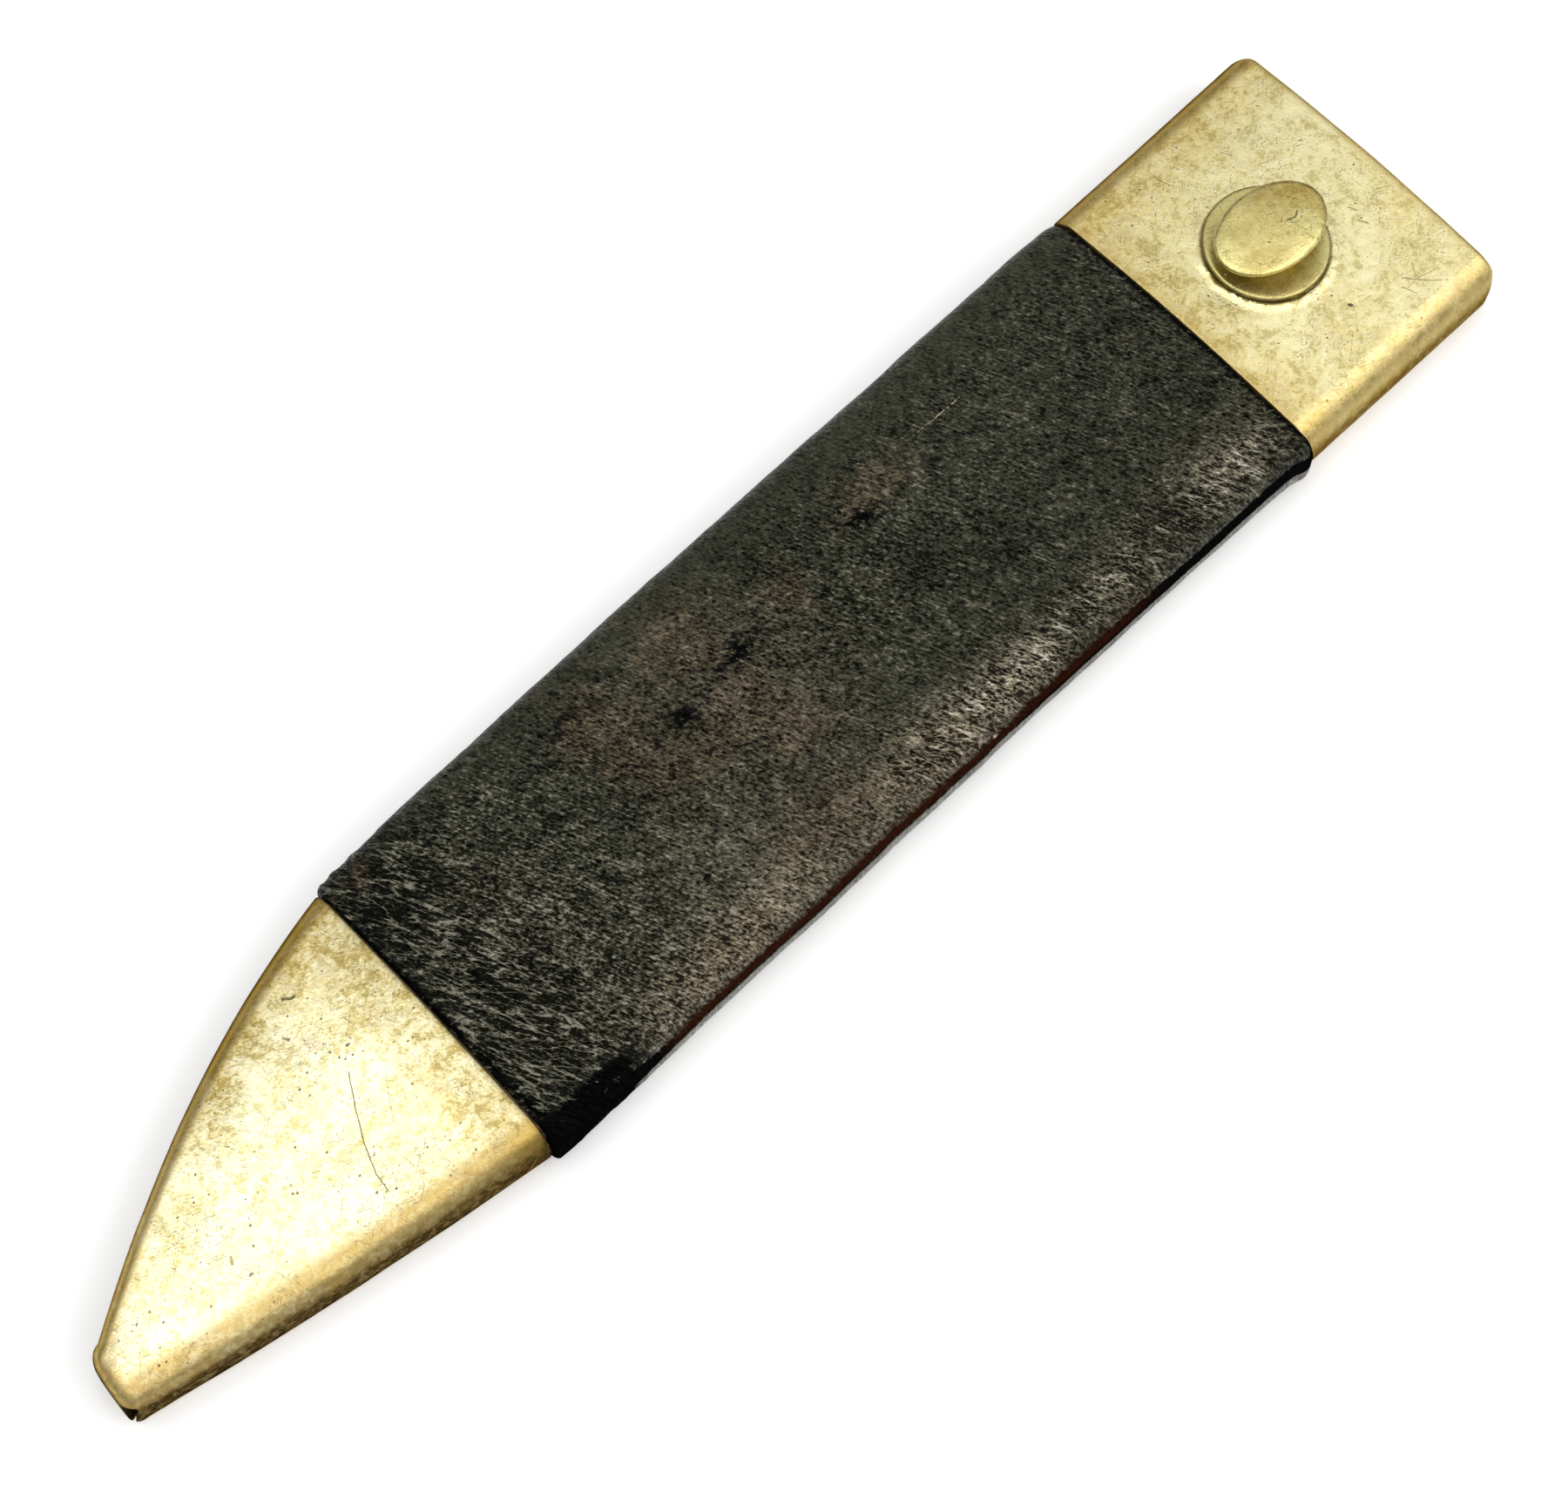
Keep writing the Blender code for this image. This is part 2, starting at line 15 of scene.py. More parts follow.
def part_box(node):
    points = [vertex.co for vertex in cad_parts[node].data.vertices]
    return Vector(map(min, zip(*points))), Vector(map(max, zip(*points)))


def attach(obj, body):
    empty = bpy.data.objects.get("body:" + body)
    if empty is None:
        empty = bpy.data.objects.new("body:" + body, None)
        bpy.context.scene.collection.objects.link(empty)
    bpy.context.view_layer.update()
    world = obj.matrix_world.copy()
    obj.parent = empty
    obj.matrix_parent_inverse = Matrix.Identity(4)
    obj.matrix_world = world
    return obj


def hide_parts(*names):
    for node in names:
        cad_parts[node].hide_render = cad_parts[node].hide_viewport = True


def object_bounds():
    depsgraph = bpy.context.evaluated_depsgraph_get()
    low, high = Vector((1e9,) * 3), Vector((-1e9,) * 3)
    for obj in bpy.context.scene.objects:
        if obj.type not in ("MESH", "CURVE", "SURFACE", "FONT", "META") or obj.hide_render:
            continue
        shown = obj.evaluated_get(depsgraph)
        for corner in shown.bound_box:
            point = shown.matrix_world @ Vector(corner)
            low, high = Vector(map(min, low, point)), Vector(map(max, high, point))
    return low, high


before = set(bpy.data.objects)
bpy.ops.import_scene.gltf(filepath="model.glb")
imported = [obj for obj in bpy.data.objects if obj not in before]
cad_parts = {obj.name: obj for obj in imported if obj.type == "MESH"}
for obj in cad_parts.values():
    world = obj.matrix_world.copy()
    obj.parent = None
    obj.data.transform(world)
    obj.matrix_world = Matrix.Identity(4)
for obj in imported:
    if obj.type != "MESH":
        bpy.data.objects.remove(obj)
cad_low, cad_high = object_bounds()

MM = 0.001


def node_box(name):
    low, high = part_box(name)
    return low / MM, high / MM


SLEEVE_LOW, SLEEVE_HIGH = node_box("locket_sleeve")
PLATE_LOW, PLATE_HIGH = node_box("locket_mouth_plate")
LEATHER_LOW, LEATHER_HIGH = node_box("leather_cover")
CHAPE_LOW, CHAPE_HIGH = node_box("chape_front_shell")
STUD_LOW, STUD_HIGH = node_box("stud")
BASE_LOW, BASE_HIGH = node_box("stud_base")

# Lengths along X.
MOUTH_X = SLEEVE_HIGH.x
LOCKET_EDGE_X = SLEEVE_LOW.x
LEATHER_END_X = LEATHER_HIGH.x
TIP_X = CHAPE_LOW.x
CHAPE_EDGE_SLANT = 0.028
TIP_SLANT = 0.11
CHAPE_EDGE_Y = 18.7
CHAPE_SPINE_Y = -19.25
CHAPE_EDGE_X = CHAPE_HIGH.x - CHAPE_EDGE_SLANT * CHAPE_EDGE_Y
BUTT_GAP = 0.2

# Plan and heights, as the CAD solids have them.
MOUTH_HALF_WIDTH = SLEEVE_HIGH.y
LOCKET_EDGE_HALF_WIDTH = 20.45
MIDDLE_EDGE_Y = 20.15
MIDDLE_SPINE_Y = -19.9
EDGE_ARC_END = (-98.6, -1.95)
EDGE_ARC_RISE = 2.93
SPINE_ARC_END = (-99.4, -10.0)
SPINE_ARC_RISE = 0.5
TIP_END_HIGH_Y = -4.3
TIP_END_LOW_Y = -9.0
CROWN = 0.8
CROWN_POWER = 1.15
SHOULDER = SLEEVE_HIGH.z - CROWN
TIP_SHOULDER = 8.2
TIP_CROWN = 0.15
CORNER_RADIUS = 3.0
TIP_CORNER_RADIUS = 2.0
SPINE_RADII = ((-99.4, 2.3), (-49.0, 3.9), (0.0, 3.9), (68.0, 4.4))
SPINE_FEET = ((-99.4, 2.0), (-49.0, 3.0), (0.0, 3.0), (68.0, 3.6))
SHEET = 0.8
SEAM_Z = CHAPE_LOW.z
SEAM_GAP = 0.15

STUD_CENTRE = ((BASE_LOW.x + BASE_HIGH.x) / 2, (BASE_LOW.y + BASE_HIGH.y) / 2)
STUD_TURN = math.radians(-4.5)
HEAD_HALF_LENGTH = 7.5
HEAD_HALF_WIDTH = 5.2
BASE_RADIUS = (BASE_HIGH.x - BASE_LOW.x) / 2
SHANK_RADIUS = 2.4
PIN_RADIUS = 0.7


# Small tools for arrays of points.

def smooth(value):
    """0 below 0, 1 above 1, and an even bend between."""
    value = np.clip(value, 0.0, 1.0)
    return value * value * (3 - 2 * value)


def bell(value, width):
    return np.exp(-((value / width) ** 2))


def lumps(points, size, shift=0.0):
    """Even noise from about -1 to 1, with features of the given size or sizes in mm."""
    places = points / np.array(size) + shift
    return np.array([noise.noise(Vector(place)) for place in places]) * 1.6


def turned(points, degrees):
    """Points turned about Z."""
    angle = math.radians(degrees)
    x, y, z = points.T
    along = x * math.cos(angle) + y * math.sin(angle)
    across = y * math.cos(angle) - x * math.sin(angle)
    return np.stack([along, across, z], axis=1)


def along(stations, x):
    """The value at x on straight lines between (x, value) stations in rising order."""
    places, values = zip(*stations)
    return float(np.interp(x, places, values))


# Plan outline and cross-sections.

EDGE_STATIONS = (
    (CHAPE_EDGE_X, CHAPE_EDGE_Y),
    (0.0, MIDDLE_EDGE_Y),
    (LOCKET_EDGE_X, LOCKET_EDGE_HALF_WIDTH),
    (MOUTH_X, MOUTH_HALF_WIDTH),
)
SPINE_STATIONS = (
    (CHAPE_EDGE_X, CHAPE_SPINE_Y),
    (0.0, MIDDLE_SPINE_Y),
    (LOCKET_EDGE_X, -LOCKET_EDGE_HALF_WIDTH),
    (MOUTH_X, -MOUTH_HALF_WIDTH),
)


def bowed(x, start_y, end, rise):
    """A side of the chape: a line from its edge to the end near its tip, bowed by rise at its middle."""
    end_x, end_y = end
    share = (CHAPE_EDGE_X - x) / (CHAPE_EDGE_X - end_x)
    return start_y + (end_y - start_y) * share + 4 * rise * share * (1 - share)


def body_edge_y(x):
    if x < CHAPE_EDGE_X:
        return bowed(x, CHAPE_EDGE_Y, EDGE_ARC_END, EDGE_ARC_RISE)
    return along(EDGE_STATIONS, x)


def body_spine_y(x):
    if x < CHAPE_EDGE_X:
        return bowed(x, CHAPE_SPINE_Y, SPINE_ARC_END, -SPINE_ARC_RISE)
    return along(SPINE_STATIONS, x)


def toward_tip(x, at_edge, at_tip):
    return along(((TIP_X, at_tip), (CHAPE_EDGE_X, at_edge)), x)


def slant_at(x):
    return along(((EDGE_ARC_END[0], TIP_SLANT), (CHAPE_EDGE_X, CHAPE_EDGE_SLANT), (0.0, 0.0)), x)


def section(low_y, high_y, low_z, shoulder, crown, top_radii, low_radii, steps):
    """(y, z) points round a box with rounded edges and a crowned top.

    Radii are given at high and low y, and steps are (side, corner, top, back).
    """
    side, arc, top, back = steps
    high_radius, spine_radius = top_radii
    high_foot, spine_foot = low_radii
    quarter = np.linspace(0.0, math.pi / 2, arc, endpoint=False)
    sine, cosine = np.sin(quarter), np.cos(quarter)
    flat_start = high_y - high_radius
    flat_end = low_y + spine_radius
    share = np.linspace(1.0, -1.0, top, endpoint=False)
    flat = (flat_start + flat_end) / 2 + (flat_start - flat_end) / 2 * share
    rising = np.linspace(low_z + high_foot, shoulder - high_radius, side, endpoint=False)
    falling = np.linspace(shoulder - spine_radius, low_z + spine_foot, side, endpoint=False)
    backward = np.linspace(low_y + spine_foot, high_y - high_foot, back, endpoint=False)
    runs = (
        (np.full(side, high_y), rising),
        (flat_start + high_radius * cosine, shoulder - high_radius + high_radius * sine),
        (flat, shoulder + crown * (1 - share**2) ** CROWN_POWER),
        (flat_end - spine_radius * sine, shoulder - spine_radius + spine_radius * cosine),
        (np.full(side, low_y), falling),
        (low_y + spine_foot - spine_foot * cosine, low_z + spine_foot - spine_foot * sine),
        (backward, np.full(back, low_z)),
        (high_y - high_foot + high_foot * sine, low_z + high_foot - high_foot * cosine),
    )
    return np.concatenate([np.stack(run, axis=1) for run in runs])


def placed(loop, x):
    """A (y, z) loop as points in space, on a plane that leans about its own middle."""
    reach = np.clip((CHAPE_EDGE_X - x) / (CHAPE_EDGE_X - EDGE_ARC_END[0]), 0.0, 1.0)
    middle = reach * (TIP_END_HIGH_Y + TIP_END_LOW_Y) / 2
    y, z = loop.T
    return np.stack([x + slant_at(x) * (y - middle), y, z], axis=1)


def envelope(x, inset, steps, edge_y=None, spine_y=None, squeeze=0.0, hollow=False):
    """The metal's loop at x, drawn in by inset and flattened by squeeze; a hollow has even corners."""
    drawn_in = min(inset, 0.9 * toward_tip(x, CORNER_RADIUS, TIP_CORNER_RADIUS))
    radius = toward_tip(x, CORNER_RADIUS, TIP_CORNER_RADIUS) - drawn_in
    spine_radius = radius if hollow else along(SPINE_RADII, x) - drawn_in
    spine_foot = radius if hollow else along(SPINE_FEET, x) - drawn_in
    loop = section(
        (body_spine_y(x) if spine_y is None else spine_y) + inset,
        (body_edge_y(x) if edge_y is None else edge_y) - inset,
        inset + squeeze,
        toward_tip(x, SHOULDER, TIP_SHOULDER) - inset - squeeze,
        toward_tip(x, CROWN, TIP_CROWN),
        (radius, spine_radius),
        (radius, spine_foot),
        steps,
    )
    return placed(loop, x)


# Mesh building.

def grid_faces(rows, columns, first=0):
    row, column = np.meshgrid(np.arange(rows - 1), np.arange(columns), indexing="ij")
    after = (column + 1) % columns
    corners = (
        row * columns + column,
        row * columns + after,
        (row + 1) * columns + after,
        (row + 1) * columns + column,
    )
    return (np.stack(corners, axis=-1).reshape(-1, 4) + first).tolist()


def bridge(first, second, columns):
    """Faces between two loops, given by the index of each one's first point."""
    return [
        (first + i, first + (i + 1) % columns, second + (i + 1) % columns, second + i)
        for i in range(columns)
    ]


def new_object(name, data):
    obj = bpy.data.objects.new(name, data)
    bpy.context.scene.collection.objects.link(obj)
    return obj


def make_object(name, points, faces):
    mesh = bpy.data.meshes.new(name)
    mesh.from_pydata((points * MM).tolist(), [], faces)
    work = bmesh.new()
    work.from_mesh(mesh)
    bmesh.ops.recalc_face_normals(work, faces=work.faces)
    work.to_mesh(mesh)
    work.free()
    return new_object(name, mesh)


def relieved(grid, relief):
    """A grid of loops with each point moved along the surface's own normal by relief(points)."""
    rows, columns, _ = grid.shape
    lengthwise = np.gradient(grid, axis=0)
    around = np.roll(grid, -1, axis=1) - np.roll(grid, 1, axis=1)
    normal = np.cross(around, lengthwise)
    normal /= np.linalg.norm(normal, axis=2, keepdims=True) + 1e-12
    middle = grid.mean(axis=(0, 1))
    if np.mean(np.einsum("ijk,ijk->ij", normal, grid - middle)) < 0:
        normal = -normal
    offset = relief(grid.reshape(-1, 3)).reshape(rows, columns, 1)
    return grid + normal * offset


def tube(name, outer, inner):
    """An open-ended tube: outer and inner grids of loops with a lip at each end."""
    rows, columns, _ = outer.shape
    inner_first = rows * columns
    faces = grid_faces(rows, columns) + grid_faces(len(inner), columns, inner_first)
    faces += bridge(0, inner_first, columns)
    faces += bridge((rows - 1) * columns, inner_first + (len(inner) - 1) * columns, columns)
    return make_object(name, np.concatenate([outer.reshape(-1, 3), inner.reshape(-1, 3)]), faces)


def loft(name, grid):
    """A closed solid through a grid of loops, with a flat cap on each end."""
    rows, columns, _ = grid.shape
    faces = grid_faces(rows, columns)
    faces.append(list(range(columns)))
    faces.append(list(range((rows - 1) * columns, rows * columns)))
    return make_object(name, grid.reshape(-1, 3), faces)


def box_solid(name, low, high):
    corners = [(x, y, z) for x in (low[0], high[0]) for y in (low[1], high[1]) for z in (low[2], high[2])]
    faces = [(0, 1, 3, 2), (4, 6, 7, 5), (0, 4, 5, 1), (2, 3, 7, 6), (0, 2, 6, 4), (1, 5, 7, 3)]
    return make_object(name, np.array(corners), faces)


def round_loops(centre, levels, turn=0.0, steps=128):
    """Stacked ovals about a vertical axis; levels are (z, half length, half width)."""
    angle = np.linspace(0.0, 2 * math.pi, steps, endpoint=False)
    loops = []
    for z, half_x, half_y in levels:
        x = half_x * np.cos(angle)
        y = half_y * np.sin(angle)
        turned_x = x * math.cos(turn) - y * math.sin(turn)
        turned_y = x * math.sin(turn) + y * math.cos(turn)
        loops.append(np.stack([centre[0] + turned_x, centre[1] + turned_y, np.full(steps, z)], axis=1))
    return np.array(loops)


def cylinder(name, centre, radius, low_z, high_z):
    return loft(name, round_loops(centre, ((low_z, radius, radius), (high_z, radius, radius)), steps=48))


def pin_hole(pin, high_z):
    """A cutter where one of the CAD's pins comes through the back."""
    low, high = node_box(pin)
    centre = ((low.x + high.x) / 2, (low.y + high.y) / 2)
    return cylinder("hole_" + pin, centre, PIN_RADIUS, -1.0, high_z)


def rolled_rings(start_x, end_x, start_roll, end_roll, count):
    """(x, inset) rings along a tube whose two end edges are quarter rounds."""
    turn = np.linspace(0.0, math.pi / 2, 7)
    rings = [(start_x + start_roll * (1 - math.cos(a)), start_roll * (1 - math.sin(a))) for a in turn]
    rings += [(x, 0.0) for x in np.linspace(start_x + start_roll, end_x - end_roll, count)[1:-1]]
    rings += [(end_x - end_roll * (1 - math.sin(a)), end_roll * (1 - math.cos(a))) for a in turn]
    return rings


def settle(obj):
    """Applies the object's modifiers."""
    graph = bpy.context.evaluated_depsgraph_get()
    made = bpy.data.meshes.new_from_object(obj.evaluated_get(graph))
    old = obj.data
    obj.modifiers.clear()
    obj.data = made
    bpy.data.meshes.remove(old)


def cut(obj, *cutters):
    for cutter in cutters:
        modifier = obj.modifiers.new(cutter.name, "BOOLEAN")
        modifier.operation = "DIFFERENCE"
        modifier.solver = "EXACT"
        modifier.object = cutter
    settle(obj)
    for cutter in cutters:
        bpy.data.objects.remove(cutter, do_unlink=True)


def vertices_of(obj):
    places = np.empty(len(obj.data.vertices) * 3, np.float32)
    obj.data.vertices.foreach_get("co", places)
    return places.reshape(-1, 3).astype(float) / MM


def paint(obj, name, values, most=1.0):
    """Stores a number from 0 to most for each vertex, for the materials to read."""
    layer = obj.data.attributes.new(name, "FLOAT", "POINT")
    layer.data.foreach_set("value", np.clip(values, 0.0, most).astype(np.float32))


def dress(obj, material):
    obj.data.materials.clear()
    obj.data.materials.append(material)


def show(obj, material, slot, *nodes, sharp=40.0):
    """Finishes a visible piece: its material, shading, body and the nodes that it stands for."""
    dress(obj, material)
    if obj.type == "MESH":
        obj.data.shade_smooth()
        obj.data.set_sharp_from_angle(angle=math.radians(sharp))
    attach(obj, "root")
    if nodes:
        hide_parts(*nodes)


# Materials.

def fill_ramp(node, stops):
    elements = node.color_ramp.elements
    while len(elements) < len(stops):
        elements.new(0.5)
    for element, (position, colour) in zip(elements, stops):
        element.position = position
        element.color = (*colour, 1.0)


class Shader:
    """A node material, put together one value at a time. Sizes are in mm on the object."""

    def __init__(self, name):
        self.material = bpy.data.materials.new(name)
        self.material.use_nodes = True
        self.tree = self.material.node_tree
        self.surface = self.tree.nodes["Principled BSDF"]
        self.place = self.add("TexCoord").outputs["Object"]

    def add(self, kind, settings=(), **inputs):
        made = self.tree.nodes.new("ShaderNode" + kind)
        for key, value in dict(settings).items():
            setattr(made, key, value)
        for key, value in inputs.items():
            self.feed(made.inputs[key], value)
        return made

    def filled(self, kind, settings, *values):
        """A new node with its first inputs fed in order."""
        made = self.add(kind, settings)
        for socket, value in zip(made.inputs, values):
            self.feed(socket, value)
        return made

    def feed(self, socket, value):
        if isinstance(value, bpy.types.NodeSocket):
            self.tree.links.new(value, socket)
        else:
            socket.default_value = value

    def mapped(self, size, turn=0.0):
        """Coordinates in which a feature of the given size or sizes is one unit across."""
        sizes = (size, size, size) if isinstance(size, (int, float)) else size
        place = self.place
        if turn:
            rotate = self.add("Mapping", Vector=place, Rotation=(0.0, 0.0, math.radians(turn)))
            place = rotate.outputs["Vector"]
        scale = self.add("Mapping", Vector=place, Scale=[1 / (MM * each) for each in sizes])
        return scale.outputs["Vector"]

    def noise(self, size, detail=3.0, rough=0.55, turn=0.0, warp=0.0):
        settings = dict(Scale=1.0, Detail=detail, Roughness=rough, Distortion=warp)
        return self.add("TexNoise", Vector=self.mapped(size, turn), **settings).outputs["Fac"]

    def cells(self, size, turn=0.0):
        return self.add("TexVoronoi", Vector=self.mapped(size, turn), Scale=1.0).outputs["Distance"]

    def math(self, operation, first, second=0.0, clamp=False):
        settings = {"operation": operation, "use_clamp": clamp}
        return self.filled("Math", settings, first, second).outputs[0]

    def times(self, first, second):
        return self.math("MULTIPLY", first, second)

    def most(self, values):
        """The largest of the values."""
        total = values[0]
        for value in values[1:]:
            total = self.math("MAXIMUM", total, value)
        return total

    def span(self, value, low, high, to_low=0.0, to_high=1.0):
        """The value's span from low to high, eased and laid on to_low to to_high."""
        settings = {"interpolation_type": "SMOOTHSTEP"}
        return self.filled("MapRange", settings, value, low, high, to_low, to_high).outputs[0]

    def ramp(self, value, *stops):
        made = self.add("ValToRGB", Fac=value)
        fill_ramp(made, stops)
        return made.outputs["Color"]

    def mix(self, share, first, second, blend="MIX"):
        made = self.add("Mix", {"data_type": "RGBA", "blend_type": blend})
        self.feed(made.inputs[0], share)
        for index, each in ((6, first), (7, second)):
            self.feed(made.inputs[index], (*each, 1.0) if isinstance(each, tuple) else each)
        return made.outputs[2]

    def painted(self, name):
        return self.add("Attribute", {"attribute_name": name}).outputs["Fac"]

    def weighted(self, *terms):
        """The sum of each (value, weight)."""
        total = 0.0
        for value, weight in terms:
            total = self.filled("Math", {"operation": "MULTIPLY_ADD"}, value, weight, total).outputs[0]
        return total

    def vector(self, operation, first, second=(0.0, 0.0, 0.0), **others):
        made = self.filled("VectorMath", {"operation": operation}, first, second)
        for key, value in others.items():
            self.feed(made.inputs[key], value)
        return made.outputs["Value" if operation in ("DOT_PRODUCT", "LENGTH") else "Vector"]

    def drawn(self, marks):
        """1 along thin lines on the front; marks are ((x, y) points, half width, strength)."""
        wobble = self.add("TexNoise", Vector=self.mapped(1.4), Scale=1.0, Detail=2.0).outputs["Color"]
        shaken = self.vector("SUBTRACT", wobble, (0.5, 0.5, 0.5))
        shaken = self.vector("SCALE", shaken, Scale=MARK_WOBBLE * MM)
        flat = self.vector("MULTIPLY", self.vector("ADD", self.place, shaken), (1.0, 1.0, 0.0))
        lines = []
        for route, width, strength in marks:
            for start, end in zip(route, route[1:]):
                start = Vector((*start, 0.0)) * MM
                step = Vector((*end, 0.0)) * MM - start
                offset = self.vector("SUBTRACT", flat, start)
                share = self.vector("DOT_PRODUCT", offset, step / step.length_squared)
                share = self.math("ADD", share, 0.0, clamp=True)
                nearest = self.vector("SCALE", step, Scale=share)
                distance = self.vector("LENGTH", self.vector("SUBTRACT", offset, nearest))
                lines.append(self.span(distance, 0.4 * width * MM, width * MM, strength, 0.0))
        return self.most(lines)

    def spots(self, places):
        """1 in small ovals; places are (centre, half sizes)."""
        made = []
        for centre, halves in places:
            offset = self.vector("SUBTRACT", self.place, Vector(centre) * MM)
            reach = self.vector("LENGTH", self.vector("DIVIDE", offset, Vector(halves) * MM))
            ragged = self.weighted((reach, 1.0), (self.noise(0.5, 2.0), 0.9))
            made.append(self.span(ragged, 1.15, 1.4, 1.0, 0.0))
        return self.most(made)

    def bump(self, height, depth, **below):
        made = self.add("Bump", Height=height, Strength=1.0, Distance=depth * MM, **below)
        return made.outputs["Normal"]

    def finish(self, **inputs):
        """Feeds the surface's own sockets, whose names are given with _ for each space."""
        for key, value in inputs.items():
            self.feed(self.surface.inputs[key.replace("_", " ")], value)
        return self.material


MARK_WOBBLE = 0.3
LOCKET_MARKS = (
    (((91.4, -13.2), (93.2, -15.2), (94.6, -16.4)), 0.09, 0.5),
    (((91.0, -14.4), (92.6, -14.3), (94.6, -14.9)), 0.08, 0.4),
    (((90.4, -13.8), (91.2, -15.6)), 0.09, 0.4),
    (((93.6, -12.6), (92.8, -14.0)), 0.08, 0.35),
    (((84.3, -11.3), (84.5, -11.5)), 0.26, 0.9),
    (((93.0, -4.6), (93.6, -5.6)), 0.1, 0.5),
    (((93.4, -2.6), (93.9, -3.6)), 0.1, 0.45),
    (((80.4, 15.4), (80.8, 13.8)), 0.12, 0.3),
    (((88.2, 12.8), (88.8, 11.6)), 0.12, 0.35),
)
STUD_MARKS = ((((84.6, -0.2), (85.5, -0.55), (86.3, -0.2)), 0.11, 0.8),)
CHAPE_MARKS = (
    (((-60.2, 0.9), (-62.2, -2.2), (-64.4, -6.2), (-65.6, -9.2), (-65.9, -11.4)), 0.075, 0.7),
    (((-57.6, -2.0), (-59.0, -4.0), (-60.6, -6.6)), 0.07, 0.25),
    (((-59.6, 11.9), (-59.0, 11.4), (-58.6, 11.3)), 0.22, 0.8),
    (((-62.5, 8.6), (-62.2, 8.1)), 0.22, 0.6),
    (((-58.3, 3.2), (-58.1, 3.2)), 0.22, 0.8),
    (((-82.4, -5.2), (-82.7, -5.8)), 0.2, 0.6),
    (((-82.2, -8.0), (-81.9, -8.0)), 0.2, 0.6),
)
LEATHER_SCRATCHES = (
    (((36.6, 11.75), (39.4, 11.6)), 0.05, 0.4),
    (((39.4, 11.6), (43.4, 11.5)), 0.07, 0.8),
    (((11.9, 8.0), (12.0, 7.6)), 0.08, 0.8),
    (((46.4, 14.0), (46.6, 13.9)), 0.08, 0.8),
)
LEATHER_NICKS = (
    ((17.0, -20.2, 7.6), (0.95, 0.6, 0.42)),
    ((42.0, -19.4, 8.5), (0.42, 0.5, 0.25)),
    ((41.2, -19.1, 8.7), (0.2, 0.3, 0.2)),
    ((-11.0, -19.7, 8.2), (0.3, 0.4, 0.22)),
)


OLIVE_TARNISH = (0.54, 0.44, 0.16)
SMUDGE_BROWN = (0.54, 0.42, 0.16)
SCRATCH_BROWN = (0.26, 0.19, 0.07)
PIT_BROWN = (0.20, 0.145, 0.05)
MARK_BROWN = (0.09, 0.065, 0.03)
EDGE_BROWN = (0.46, 0.30, 0.065)
DIRT_AND_SHADE_BROWN = (0.060, 0.038, 0.015)
EDGE_GRAZING = (0.30, 0.20, 0.07)
DIRT_AND_SHADE_GRAZING = (0.10, 0.062, 0.022)
WHITE = (1.0, 1.0, 1.0)
PALER = (1.11, 1.12, 1.3)
RUBBING_LINES = (((2.2, 0.13, 2.2), 24.0), ((1.6, 0.11, 1.6), -38.0), ((1.8, 0.12, 1.8), 78.0))


